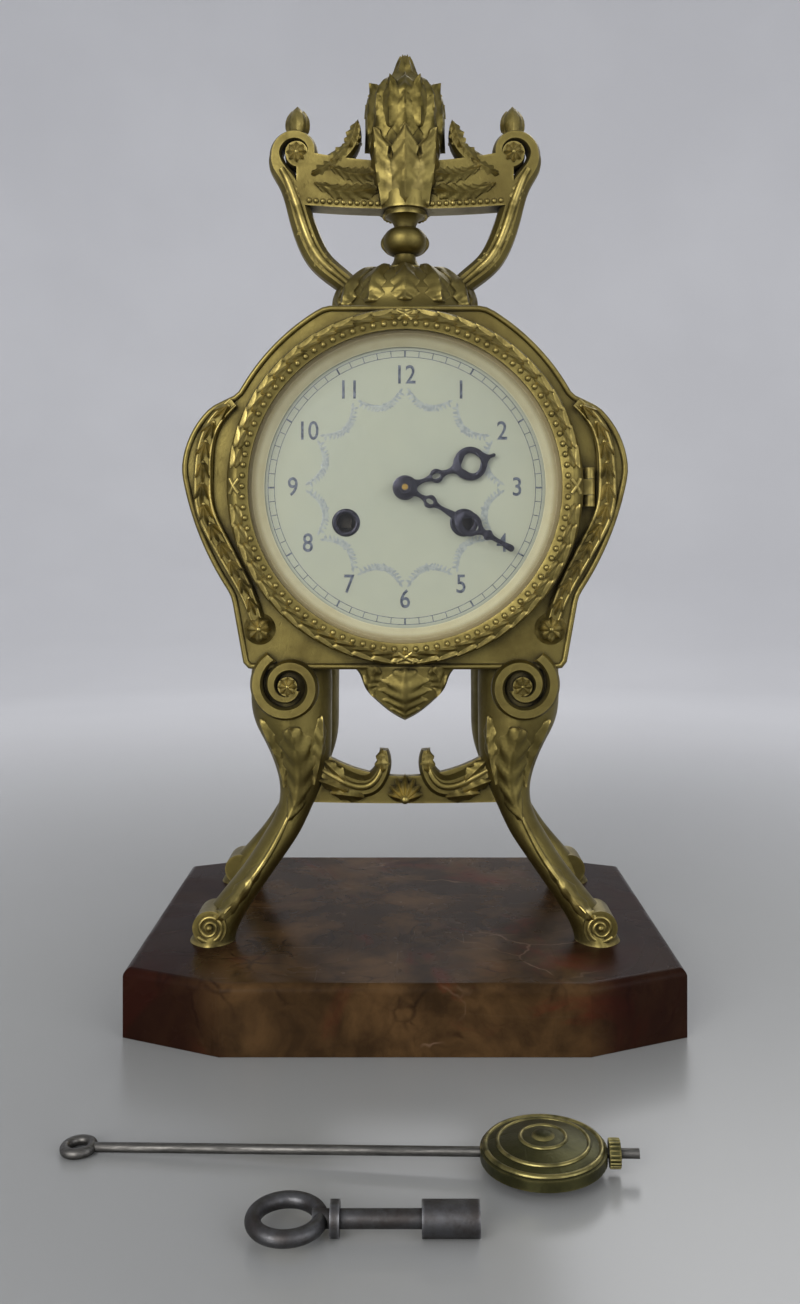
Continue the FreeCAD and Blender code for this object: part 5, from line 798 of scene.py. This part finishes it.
for face in TOE_FACES:
    spiral = []
    for step in range(SPIRAL_STEPS + 1):
        turn = step / SPIRAL_STEPS * 2.3 * 2 * pi + 2.2
        reach = 4.5 * (1 - 0.86 * step / SPIRAL_STEPS)
        spiral.append(mm(TOE[0] + reach * sin(turn), face, TOE[1] + reach * cos(turn)))
    add_rib(bm, spiral, 0.75, (1.0, 0.8, 0.6), 2, 3)
    add_bead(bm, mm(TOE[0], face, TOE[1]), 1.2, (10, 6))
in_four(bm, case_middle)
finish_piece("leg_ornament", bm)

# %% [markdown]
# ## Apron and pendant
# Between the front legs hangs a pierced apron: two scrolls that rise to tips on either side of a notch.
# Under the dial hangs a leaf. Ribs follow the scrolls' middle lines, a shell closes the notch, and the
# pendant gets an acanthus leaf pressed onto it.

# %% Apron scrolls and shell
SCROLL = ((28.4, 72.2), (23.8, 69.6), (20.2, 67.7), (17.0, 66.2), (13.8, 65.6), (11.0, 66.2), (8.6, 68.6),
          (7.2, 72.4), (6.8, 76.8))
SCROLL_LEAVES = ((18.0, 64.4, 70, 11.0), (13.0, 62.6, 84, 11.0), (7.2, 70.4, 2, 7.5), (19.0, 67.6, 46, 10.5))
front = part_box("front_apron")[0].y / MM
bm = bmesh.new()
for side in (1, -1):
    add_rib(bm, [mm(side * x, front + 0.2, z) for x, z in SCROLL], 1.1, (0.5, 1.0, 1.1, 0.9, 0.4))
    for x, z, angle, length in SCROLL_LEAVES:
        add_leaf(bm, on_face(mm(side * x, front + 0.3, z), side * angle, length, 2.5), LEAVES["scroll"])
for angle in range(-72, 73, 24):
    place = on_face(mm(0, front + 1.2, 61.4), angle, 8.0 - abs(angle) * 0.03, 1.5)
    add_leaf(bm, place, LEAVES["shell"])
add_bead(bm, mm(0, front + 0.6, 61.6), 1.5, (14, 10))
finish_piece("apron_ornament", bm)

# %% Pendant leaf
ground = ground_of("pendant_leaf")
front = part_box("pendant_leaf")[0].y
bm = bmesh.new()
line = [Vector((0, front, z * MM)) for z in (104.5, 100.0, 95.5, 91.5, 88.4)]
add_leaf(bm, on_ground(ground, line, 9.0, (0, -1, 0)), LEAVES["pendant"])
for side in (1, -1):
    line = [Vector((side * x * MM, front, z * MM)) for x, z in
            ((8.0, 104.6), (10.5, 101.6), (11.8, 98.0), (10.6, 94.2))]
    add_leaf(bm, on_ground(ground, line, 3.6, (0, -1, 0)), LEAVES["pendant_side"])
finish_piece("pendant_ornament", bm)

# %% [markdown]
# ## Shoulders
# A C-scroll runs down each side of the dial. A plain band looks machined, so a chain of bell-shaped husks
# is laid along it, smaller towards both ends, between two fine rails, with a flower on the boss at its
# foot.

# %% Husks and flowers on the shoulders
HALF_WIDTH, HALF_HEIGHT = 69, 56  # of the case round the dial; SHOULDER counts in shares of them
BOSS = (0.659, -0.79)
SHOULDER = ((0.775, 0.473), (0.826, 0.42), (0.870, 0.348), (0.903, 0.232), (0.912, 0.09), (0.905, -0.125),
            (0.812, -0.36), (0.713, -0.59), BOSS)
RAIL_STEPS = 14
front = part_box("right_shoulder_scroll")[0].y / MM


def on_shoulder(x, z, rise):
    return mm(HALF_WIDTH * x, front + rise, dial_height / MM + HALF_HEIGHT * z)


line = [on_shoulder(x, z, 0.25) for x, z in SHOULDER]
fine = [along_path(line, step / 80)[0] for step in range(81)]
line = evenly(fine, 12) + fine[-1:]
bm = bmesh.new()
for side in (1, -1):
    edge = [Vector((side * spot.x, spot.y, spot.z)) for spot in line]
    for number in range(11):
        spot, way = along_path(edge, 0.03 + number * 0.084)
        size = 0.92 - 0.03 * abs(number - 4)
        angle = degrees(atan2(way.x, way.z))
        for lean, share in ((-24, 0.8), (24, 0.8), (0, 1.0)):
            add_leaf(bm, on_face(spot, angle + lean, 7.6 * size * share, 1.7 * size), LEAVES["husk"])
        add_bead(bm, spot, 0.85)
    for offset in (-2.3, 2.3):
        rail = []
        for number in range(RAIL_STEPS + 1):
            spot, way = along_path(edge, number / RAIL_STEPS)
            swell = 0.55 + 0.45 * sin(pi * number / RAIL_STEPS)
            rail.append(spot + Vector((way.z, 0, -way.x)) * offset * swell * MM)
        add_rib(bm, rail, 0.6, (0.6, 1.0, 0.6), 2, 4)
    add_rosette(bm, on_shoulder(side * BOSS[0], BOSS[1], 0), 4.0, 0.9)
finish_piece("shoulder_ornament", bm)

# %% [markdown]
# ## Sides of the case
# The sides are two bent castings that meet on the middle line. A bead moulding runs round both edges and a
# large leaf covers the widest part. The moulding could be traced point by point; instead a copy of the
# panel is cut by a plane, and the cut's outer loop is the line to follow.


# %% Finding the case's outline
def outline_at(name, depth):
    """The outer loop of a piece where an upright plane at this depth cuts it."""
    bm = bmesh.new()
    bm.from_mesh(nodes[name].data)
    bmesh.ops.remove_doubles(bm, verts=bm.verts, dist=1e-6)
    cut = bmesh.ops.bisect_plane(bm, geom=bm.verts[:] + bm.edges[:] + bm.faces[:], dist=1e-7,
                                 plane_co=(0, depth, 0), plane_no=(0, 1, 0))["geom_cut"]
    # a dict, not a set: it keeps its order, so the loop starts at the same edge in every run
    edges = dict.fromkeys(item for item in cut if isinstance(item, bmesh.types.BMEdge))
    loops = []
    while edges:
        loop = list(edges.popitem()[0].verts)
        while True:
            follow = [edge for edge in loop[-1].link_edges if edge in edges]
            if not follow:
                break
            del edges[follow[0]]
            loop.append(follow[0].other_vert(loop[-1]))
        loops.append([vert.co.copy() for vert in loop])
    bm.free()
    return max(loops, key=lambda loop: sum((a - b).length for a, b in zip(loop, loop[1:])))


SKIN = 0.2 * MM  # the cut runs this far inside a panel's face
front_loop = outline_at("front_panel", case_front + SKIN)
rear_face = 2 * case_middle - case_front
rear_loop = outline_at("rear_panel", rear_face - SKIN)
print("outlines of", len(front_loop), "and", len(rear_loop), "points")

# %% Mouldings round the case and leaves on its sides
CASE_LEAVES = (
    ("case_upper", 15.0, ((56, 3, 131), (62, 3, 143), (67, 3, 156), (68.5, 3, 168), (65.5, 3, 178))),
    ("case_lower", 10.0, ((55.5, 3, 129), (53, 3, 122), (51.5, 3, 115), (50.3, 3, 109))),
    ("case_slip", 4.5, ((56, 3, 131), (60, -6, 138), (65, -12, 150), (68, -13, 162), (68, -9, 169))),
    ("case_slip", 4.5, ((56, 3, 131), (60, 12, 138), (65, 18, 150), (68, 19, 162), (68, 15, 169))),
)
BEAD_INSET = 2.4 * MM
band_low, band_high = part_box("right_side_band")
ground = ground_of("right_side_band", "left_side_band")
bm = bmesh.new()
for spot in evenly(front_loop, 150):
    under_dome = spot.z > band_high.z - 1 * MM and abs(spot.x) < 25 * MM
    if spot.z > band_low.z + 1 * MM and not under_dome:
        for depth in (band_low.y + BEAD_INSET, band_high.y - BEAD_INSET):
            add_bead(bm, Vector((spot.x, depth, spot.z)), 1.25)
for loop, depth in ((front_loop, case_front), (rear_loop, rear_face)):
    rim = [Vector((spot.x, depth, spot.z)) for spot in evenly(loop, 180)]
    add_rib(bm, rim + rim[:1], 0.95, (1, 1), 2, 1)
for side in (1, -1):
    for leaf, half_width, rows in CASE_LEAVES:
        line = [mm(side * x, y, z) for x, y, z in rows]
        add_leaf(bm, on_ground(ground, line, half_width, (side, 0, 0)), LEAVES[leaf])
    boss = ground.find_nearest(Vector((side * 0.0545, case_middle, 0.130)))[0]
    add_bead(bm, boss, 3.4, (16, 10))
finish_piece("side_ornament", bm)

# %% [markdown]
# ## Dome and baluster
# The dome over the dial carries a ring of leaves that point up to the baluster, and a row of beads round
# its foot. Spinning one leaf's outline would give a plain ring, so each leaf is laid on the dome by itself.
# The baluster's knob is ribbed like a melon, between two rows of beads.

# %% Leaves and beads on the dome
ground = ground_of("top_dome")
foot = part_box("top_dome")[0].z
outline = []
for radius, height in ((22.6, 3.4), (22.0, 6.0), (21.2, 9.0), (19.4, 12.0), (15.2, 15.6), (10.5, 17.4)):
    near = ground.find_nearest(Vector((0, case_middle - radius * MM, foot + height * MM)))[0]
    outline.append(((case_middle - near.y) / MM, near.z / MM))
bm = bmesh.new()
for turn in turns(13):
    add_leaf(bm, on_turned(case_axis, outline, turn, 5.0), LEAVES["dome"])
for turn in turns(60):
    add_bead(bm, round_axis(case_axis, turn, 23.2, foot / MM + 2.5), 1.05)
finish_piece("dome_ornament", bm)

# %% Ribs and beads on the baluster
KNOB = ((4.4, -3.9), (6.6, -2.2), (7.5, 0.0), (6.6, 2.2), (4.6, 3.8))
low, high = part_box("crest_baluster")
foot = low.z / MM
middle = foot + (high.z - low.z) / MM * 0.52
bm = bmesh.new()
for turn in turns(16):
    line = [round_axis(case_axis, turn, radius, middle + height) for radius, height in KNOB]
    add_rib(bm, line, 0.95, (0.3, 1.0, 1.15, 1.0, 0.3), 2, 4)
for height in (1.0, 19.9):
    for turn in turns(24):
        add_bead(bm, round_axis(case_axis, turn, 7.0, foot + height), 0.8)
finish_piece("baluster_ornament", bm)

# %% [markdown]
# ## Gallery
# Two brackets carry the rail and end in volutes with buds. Seen from behind it is as finished as from the
# front, so every rib and flower is made on both faces. The rail gets long leaves and beads along its lower
# edge, and upright leaves wrap the socket in its middle, where the finial stands.

# %% Finding the gallery's faces
gallery_ground = ground_of("crest_gallery")
VOLUTE = (36.5, 275.05)  # the volute's eye, width and height


def gallery_depth(facing):
    return case_middle / MM + facing * 4.5


def gallery_hit(facing, x, z):
    """The gallery's face, met from in front (facing -1) or from behind (1); none where it is pierced."""
    return gallery_ground.ray_cast(mm(x, gallery_depth(facing) + facing * 20, z), Vector((0, -facing, 0)))[0]


def on_gallery(side, facing, x, z):
    return gallery_hit(facing, side * x, z) or mm(side * x, gallery_depth(facing), z)


print("gallery faces at depths", [round(gallery_depth(facing), 1) for facing in (-1, 1)])

# %% Ribs, leaves, flowers and buds of the gallery
BRACKET = ((19.0, 230.8), (22.3, 233.5), (25.5, 236.2), (28.5, 239.0), (31.0, 242.8), (32.9, 247.0),
           (34.5, 251.5), (35.8, 256.0), (37.6, 261.0), (39.4, 266.0), (41.5, 269.5))
SPRIGS = (  # width, height, angle, length, half width, how deep it is set
    (24.5, 235.4, 48, 11.0, 3.2, 0.4), (31.4, 243.4, 24, 11.5, 3.0, 0.4), (36.0, 257.0, 19, 11.0, 2.8, 0.4),
    (31.5, 267.4, -60, 11.0, 2.9, 0.5), (25.0, 271.2, -44, 10.5, 2.9, 0.5),
    (18.9, 276.4, -18, 10.0, 2.9, 0.5))
RAIL_LEAVES = ((3.6, ((9.0, 262.5), (16.0, 261.4), (23.0, 261.8), (30.5, 264.6))),
               (3.2, ((9.0, 268.0), (14.0, 267.2), (19.5, 267.8), (25.5, 270.2))))
BUD = ((2.0, -0.6), (3.1, 2.2), (3.5, 4.6), (2.9, 7.2), (1.6, 9.4))
bm = bmesh.new()
for side in (1, -1):
    for facing in (-1, 1):
        add_rib(bm, [on_gallery(side, facing, x, z) for x, z in BRACKET], 1.5, (0.6, 0.9, 1.0, 1.0, 0.7))
        for x, z, angle, length, half_width, inset in SPRIGS:
            spot = on_gallery(side, facing, x, z) + mm(0, -facing * inset, 0)
            add_leaf(bm, on_face(spot, side * angle, length, half_width, facing), LEAVES["bracket"])
        add_rosette(bm, on_gallery(side, facing, *VOLUTE), 3.4, 0.9, facing)
        for half_width, rows in RAIL_LEAVES:
            line = [on_gallery(side, facing, x, z) for x, z in rows]
            add_leaf(bm, on_ground(gallery_ground, line, half_width, (0, facing, 0)), LEAVES["rail"])
    foot = Vector((side * VOLUTE[0] * MM, case_middle, 0.28105))
    for turn in turns(6):
        line = [round_axis(foot, turn, radius, height) for radius, height in BUD]
        add_leaf(bm, on_ground(gallery_ground, line, 1.7, way_at(turn)), LEAVES["bud"])
print("gallery so far:", len(bm.faces), "faces")

# %% Beads under the rail and leaves round the socket
SOCKET_FOOT = 257.0
SOCKET_RADIUS = 8.6
CUP = ((9.3, 257.2), (10.2, 261.0), (11.6, 266.0), (12.6, 271.5), (13.0, 277.0), (13.2, 282.0))
for facing in (-1, 1):
    for number in range(-14, 15):
        x = number * 2.3
        hit = gallery_hit(facing, x, 257.6 + 1.6 * (x / VOLUTE[0]) ** 2)
        if hit and abs(x) > SOCKET_RADIUS:
            add_bead(bm, hit, 0.95)
for number in (0, 1, 3, 4, 5, 7):  # eighths of a turn; the rail meets the socket at 2 and 6
    add_leaf(bm, on_turned(case_axis, CUP, pi * number / 4, 6.6), LEAVES["cup"])
ring = [(9.0 + 0.9 * sin(a), 0.9 * cos(a)) for a in HALF_ROUND]
add_turning(bm, ring, case_axis + mm(0, 0, SOCKET_FOOT), (0, 0, 1), 40)
finish_piece("gallery_ornament", bm)

# %% [markdown]
# ## Finial
# The finial is a bud of pointed leaves, like a closed artichoke that runs up into a flame. The frame holds
# its ribbed body. Here it is made new as a turned core with four tiers of leaves, each tier turned half a
# leaf against the one below, so that the tips overlap like tiles. Two tiers hold their width to the tip and
# form the square shoulders under the flame. The finial gets a darker bronze than the case all over: painted
# shade, so that the top of the clock looks less brightly lit.

# %% Leafed finial
FINIAL_BASE = 0.276  # metres
FINIAL_RADIUS = 14.0
CORE = ((0.00, 0.76), (0.12, 0.84), (0.28, 0.88), (0.44, 0.88), (0.56, 0.82), (0.64, 0.68), (0.70, 0.46),
        (0.75, 0.29), (0.82, 0.20), (0.90, 0.14), (0.96, 0.07), (1.00, 0.0))  # shares of height and radius
TIERS = (  # from and to, in shares of the height; leaves, half width, least radius, curl
    (0.02, 0.50, 8, 5.0, 12.2, 0.5), (0.16, 0.66, 8, 4.8, 11.6, 0.7), (0.36, 0.74, 8, 3.8, 6.2, 0.4),
    (0.56, 0.97, 6, 2.6, 0.0, 0.2))
tall = (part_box("crest_finial")[1].z - FINIAL_BASE) / MM


def core_radius(share):
    for (start, first), (end, last) in zip(CORE, CORE[1:]):
        if share <= end:
            return FINIAL_RADIUS * (first + (last - first) * (share - start) / (end - start))
    return 0.0


axis = Vector((0, case_middle, FINIAL_BASE))
core = [(core_radius(step / 40), step / 40 * tall) for step in range(41)]
bm = bmesh.new()
add_turning(bm, core + [(0.0, 0.0)], axis, (0, 0, 1), 40, False)
for number, (start, end, count, half_width, hold, curl) in enumerate(TIERS):
    shares = [start + (end - start) * step / 8 for step in range(9)]
    outline = [(max(core_radius(min(share, 0.985)), hold), share * tall) for share in shares]
    for turn in turns(count, 0.5 * (number % 2)):
        add_leaf(bm, on_turned(axis, outline, turn, half_width), LEAVES["finial"]._replace(curl=curl))
finish_piece("leafed_finial", bm, finish=finial_bronze_with_painted_shade, stands_for=("crest_finial",))

# %% [markdown]
# ## Bezel
# The hinged bezel is a turned ring. A row of beads lies inside its crest and a laurel garland on its
# outer slope, tied with a crossed ribbon at the four quarters. A turned ring has the same section all the
# way round, so its depth is measured once along a radius and each leaf is laid on that section, which keeps
# the garland smooth.

# %% Finding the bezel's section
ground = ground_of("bezel_ring")
bezel_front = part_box("bezel_ring")[0].y
RADIUS_STEP = 0.2
radii = [48.6 + RADIUS_STEP * step for step in range(32)]


def on_bezel(angle, radius, depth=bezel_front):
    """A point of the ring, by its angle in degrees from the top, its radius in millimetres and its depth."""
    turn = radians(angle)
    return Vector((radius * MM * sin(turn), depth, dial_height + radius * MM * cos(turn)))


depths = [ground.ray_cast(on_bezel(200, radius, bezel_front - 0.01), Vector((0, 1, 0)))[0].y
          for radius in radii]


def depth_at(radius):
    position = min(max((radius - radii[0]) / RADIUS_STEP, 0.0), len(radii) - 1.001)
    index = int(position)
    return depths[index] + (depths[index + 1] - depths[index]) * (position - index)


def on_ring(start, sweep, radius, lean, half_width):
    """Lay a leaf along the ring, from a start angle over a sweep, leaning in or out."""

    def place(along, across, rise):
        reach = radius + lean * along + across * half_width
        slope = (depth_at(reach + 0.6) - depth_at(reach - 0.6)) / (1.2 * MM)
        steep = hypot(1, slope)
        return on_bezel(start + sweep * along, reach + rise / MM * slope / steep,
                        depth_at(reach) - rise / steep)

    return place


print("bezel section of", len(depths), "points")

# %% Beads, laurel and ribbons on the bezel
BEAD_RADIUS = 49.9
QUARTER_LEAVES = 13
SWEEP = 7.4
RIBBON = ((-2.4, 50.9), (-0.9, 52.0), (0.9, 53.2), (2.4, 54.3))
bm = bmesh.new()
for number in range(96):
    add_bead(bm, on_bezel(360 * number / 96, BEAD_RADIUS, depth_at(BEAD_RADIUS)), 0.95)
for quarter in range(4):
    for number in range(QUARTER_LEAVES):
        share = (number + 0.9) / (QUARTER_LEAVES + 0.6)
        start, sweep = quarter * 90 + share * 90, SWEEP
        if quarter % 2 == 0:
            start, sweep = quarter * 90 + 90 - share * 90, -SWEEP
        for radius, lean in ((52.0, -0.9), (53.3, 0.7)):
            add_leaf(bm, on_ring(start, sweep, radius, lean, 1.1), LEAVES["laurel"])
    for lean in (-1, 1):
        line = [ground.find_nearest(on_bezel(quarter * 90 + lean * angle, radius))[0]
                for angle, radius in RIBBON]
        add_rib(bm, line, 0.75, (1, 1), 2, 4)
finish_piece("bezel_ornament", bm, "bezel_door")

# %% [markdown]
# ## Dial
# Plain upright numerals stand in a ring, with a minute track of two fine lines and sixty ticks near the
# rim, pale garlands hung between the hours, and a blackened collar round each winding hole, black also as
# painted shade inside the holes. Blender's text object draws the figures; it is turned into a mesh first,
# then put in its place, so that it stays where it is in every export. The garlands are small flat leaves
# laid along a hanging line.

# %% Numerals and minute track
PAINT_HEIGHT = 0.03
NUMERAL_RADIUS = 35.2
TO_UPRIGHT = Matrix.Rotation(radians(90), 4, "X")  # from a drawing on the floor to one on a wall


def on_dial(angle, radius):
    """A point of the dial's face, by its angle in degrees from the 12 and its radius in millimetres."""
    turn = radians(angle)
    return dial_centre + Vector((sin(turn), 0, cos(turn))) * radius * MM


def add_figure(bm, word, place, size):
    data = bpy.data.curves.new("figure", "FONT")
    data.body = word
    data.size = size * MM
    data.align_x = "CENTER"
    data.align_y = "CENTER"
    data.extrude = PAINT_HEIGHT * MM
    data.offset = 0.07 * MM
    data.resolution_u = 6
    take_mesh(bm, data, Matrix.Translation(place) @ TO_UPRIGHT @ Matrix.Diagonal((0.92, 1.08, 1, 1)))


def add_dial_ring(bm, inner, outer):
    """A thin flat ring on the dial's face."""
    section = [(inner, -0.02), (inner, PAINT_HEIGHT), (outer, PAINT_HEIGHT), (outer, -0.02)]
    add_turning(bm, section, dial_centre, (0, -1, 0), 120)


bm = bmesh.new()
for hour in range(1, 13):
    add_figure(bm, str(hour), on_dial(hour * 30, NUMERAL_RADIUS) + mm(0, -PAINT_HEIGHT, 0), 7.6)
add_dial_ring(bm, 40.9, 41.1)
add_dial_ring(bm, 42.9, 43.1)
for minute in range(60):
    width = 0.24 if minute % 5 else 0.55
    bmesh.ops.create_cube(bm, size=1, matrix=Matrix.Translation(dial_centre)
                          @ Matrix.Rotation(radians(minute * 6), 4, "Y")
                          @ Matrix.Translation((0, 0, 42.0 * MM))
                          @ Matrix.Diagonal((width * MM, 0.05 * MM, 1.9 * MM, 1)))
finish_piece("dial_numerals", bm, slot="white_enamel", finish=dial_paint)

# %% Garlands
bm = bmesh.new()
for hour in range(12):
    middle = hour * 30 + 15
    for step in range(-6, 7):
        spot = on_dial(middle + step * 1.9, 26.2 + 3.6 * (step / 6) ** 2)
        for lean in (-38, 38):
            angle = middle + (90 if step >= 0 else -90) + lean
            add_leaf(bm, on_face(spot, angle, 1.9, 0.5), LEAVES["painted"])
    for petal in range(5):
        add_leaf(bm, on_face(on_dial(middle, 26.0), petal * 72, 1.5, 0.7), LEAVES["painted_petal"])
finish_piece("dial_garlands", bm, slot="white_enamel", finish=garland_paint)

# %% Collars round the holes
WINDING_COLLAR = [(3.0, -0.3), (3.0, 0.25), (3.3, 0.45), (4.0, 0.45), (4.4, 0.2), (4.4, -0.02)]
CENTRE_COLLAR = [(2.8, -0.3), (2.8, 0.2), (3.5, 0.3), (3.9, 0.15), (3.9, -0.02)]
bm = bmesh.new()
for collar, x, z in ((WINDING_COLLAR, 18.5, -11), (WINDING_COLLAR, -18.5, -11), (CENTRE_COLLAR, 0, 0)):
    add_turning(bm, collar, dial_centre + mm(x, 0, z), (0, -1, 0), 40)
# painted shade in part: the collars are blackened steel, and their black also stands for the shade inside the
# holes
finish_piece("dial_collars", bm, slot="blackened_hands")

# %% [markdown]
# ## Hands
# The hands are sawn from thin steel in pierced scrollwork and blackened. A flat curve with holes gives such
# an outline directly: one side is drawn as a few points, mirrored, and filled with a little thickness.

# %% Pierced hands
CHAMFER = 0.1
HUB_TURNS = [step * pi / 6 for step in range(12)]
HOUR = ((0, -3.7), (2.4, -2.8), (3.6, 0), (2.4, 2.8), (1.05, 4.0), (0.9, 8.2), (2.1, 10.0), (1.9, 11.4),
        (1.0, 12.6), (1.15, 16.0), (3.2, 17.6), (5.0, 20.4), (4.9, 23.4), (3.4, 25.6), (1.5, 26.9),
        (0.6, 28.0), (0, 30.0))
HOUR_HOLES = (((0, 18.6), (1.6, 19.6), (3.2, 21.4), (3.0, 23.2), (1.5, 24.6), (0, 25.2)),
              ((0, 9.0), (0.9, 10.4), (0, 11.8)))
MINUTE = ((0, -3.5), (2.3, -2.6), (3.4, 0), (2.3, 2.6), (0.95, 3.8), (0.85, 7.0), (2.0, 8.6), (1.7, 10.0),
          (0.85, 11.2), (0.95, 16.4), (1.3, 18.2), (3.0, 20.2), (3.7, 22.6), (3.1, 25.2), (1.5, 27.0),
          (0.9, 28.4), (1.6, 29.8), (0.8, 31.2), (0.55, 34.0), (0, 39.0))
MINUTE_HOLES = (((0, 20.4), (1.2, 21.2), (2.0, 22.8), (1.6, 24.6), (0, 26.2)),
                ((0, 7.6), (0.8, 8.8), (0, 10.2)))


def both_sides(half):
    return list(half) + [(-x, z) for x, z in reversed(half) if x]


def make_hand(name, node, body, half, holes, hub, angle):
    """A hand that stands for a node of the frame, at its depth and as thick as it is."""
    low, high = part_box(node)
    data = bpy.data.curves.new("hand", "CURVE")
    data.dimensions = "2D"
    data.fill_mode = "BOTH"
    data.extrude = ((high.y - low.y) / MM / 2 - CHAMFER) * MM
    data.bevel_depth = CHAMFER * MM
    data.bevel_resolution = 1
    data.resolution_u = 8
    rim = [(hub * sin(turn), hub * cos(turn)) for turn in HUB_TURNS]
    for points in [both_sides(half)] + [both_sides(hole) for hole in holes] + [rim]:
        line = data.splines.new("BEZIER")
        line.bezier_points.add(len(points) - 1)
        for point, (x, z) in zip(line.bezier_points, points):
            point.co = (x * MM, z * MM, 0)
            point.handle_left_type = point.handle_right_type = "AUTO"
        line.use_cyclic_u = True
    bm = bmesh.new()
    take_mesh(bm, data, Matrix.Translation((0, (low.y + high.y) / 2, dial_height))
              @ Matrix.Rotation(radians(angle), 4, "Y") @ TO_UPRIGHT)
    finish_piece(name, bm, body, "blackened_hands", stands_for=(node,))


make_hand("pierced_hour_hand", "hour_hand", "hour_pipe", HOUR, HOUR_HOLES, 2.45, 70)
make_hand("pierced_minute_hand", "minute_hand", "minute_arbor", MINUTE, MINUTE_HOLES, 1.65, 120)

# %% [markdown]
# ## Back of the clock
# The back is plainer than the front, but it is not blank: the round door is turned with raised rings round
# a flower of leaves, and the rear panel is held by slotted screws. The rings are spun; each screw head is a
# short turning, and a thin bar across it stands for the slot.

# %% Rings on the back door
DOOR_FACE = 35.8 * MM
centre = Vector((0, DOOR_FACE, dial_height))
bm = bmesh.new()
for radius, wide in ((41.5, 0.9), (26.0, 0.8), (14.0, 0.7), (4.5, 0.6)):
    add_turning(bm, half_round(radius, wide, wide * 0.8), centre, (0, 1, 0), 96)
for number in range(8):
    add_leaf(bm, on_face(centre, number * 45, 12.5, 3.4, 1), LEAVES["door"])
for turn in turns(12):
    add_bead(bm, centre + mm(20 * sin(turn), 0, 20 * cos(turn)), 1.0)
finish_piece("back_door_rings", bm, "back_door")

# %% Screws of the rear panel
SCREW = 2.0  # radius of a head
HEAD = [(0, -0.2), (SCREW, -0.2), (SCREW, 0.75), (SCREW * 0.86, 1.0), (0, 1.05)]
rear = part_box("rear_panel")[1].y
bm = bmesh.new()
for x, z in ((35, 203), (60, 176), (53, 139), (43, 113), (18, 110)):
    for side in (1, -1):
        spot = Vector((side * x * MM, rear, z * MM))
        add_turning(bm, HEAD, spot, (0, 1, 0), 24, False)
        bmesh.ops.create_cube(bm, size=1, matrix=Matrix.Translation(spot + mm(0, 1.0, 0))
                              @ Matrix.Rotation(0.4 * x + side, 4, "Y")
                              @ Matrix.Diagonal((SCREW * 1.7 * MM, 0.16 * MM, 0.3 * MM, 1)))
finish_piece("rear_panel_screws", bm, slot="movement_steel")

# %% [markdown]
# ## Pendulum and key
# The pendulum lies in front of the base with its key, which keeps the frame's shape. The bob is a lens of
# dark brass with a turned front: three rings and a domed middle. Its axis leans a little, because the rod
# rests on its hook, so the rings are spun about the bob's own axis, worked out from the rod's direction in
# the frame. The rating nut gets a milled edge of fine ribs.

# %% Turned bob
BOB_RADIUS, BOB_CROWN, BOB_FACE = 14.5, 2.8, 4.0
BALL = (BOB_RADIUS ** 2 + BOB_CROWN ** 2) / (2 * BOB_CROWN)  # radius of the ball that the lens is cut from
nut_joint = next(joint for joint in frame["joints"] if joint["name"] == "rating_nut_turn")
rod_way = Vector(nut_joint["axis"]).normalized()
face_way = rod_way.cross(Vector((0, 0, 1))).normalized().cross(rod_way).normalized()


def lens(radius):
    """How far the bob's face stands out at this radius."""
    return BOB_FACE - BALL + sqrt(BALL ** 2 - radius ** 2)


low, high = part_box("pendulum_bob")
centre = (low + high) / 2
bm = bmesh.new()
for radius, wide in ((13.3, 0.7), (10.4, 0.55), (5.2, 0.5)):
    add_turning(bm, half_round(radius, wide, wide * 0.9, lens(radius) - 0.1), centre, face_way, 72)
dome = [(0, lens(0) + 0.9), (1.2, lens(0) + 0.8), (2.2, lens(0) + 0.4), (2.8, lens(2.8) - 0.1),
        (0, lens(0) - 0.4)]
add_turning(bm, dome, centre, face_way, 32, False)
finish_piece("bob_rings", bm, "pendulum", "dark_bob_brass")

# %% Milled nut
low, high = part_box("rating_nut")
centre = (low + high) / 2
bm = bmesh.new()
for turn in turns(20):
    way = Matrix.Rotation(turn, 3, rod_way) @ face_way
    line = [centre + way * 3.0 * MM + rod_way * reach * MM for reach in (-1.2, 0.0, 1.2)]
    add_rib(bm, line, 0.32, (0.7, 1.0, 0.7), 1, 2)
finish_piece("milled_nut_edge", bm, "rating_nut", slot_of_node["rating_nut"], bob_brass)
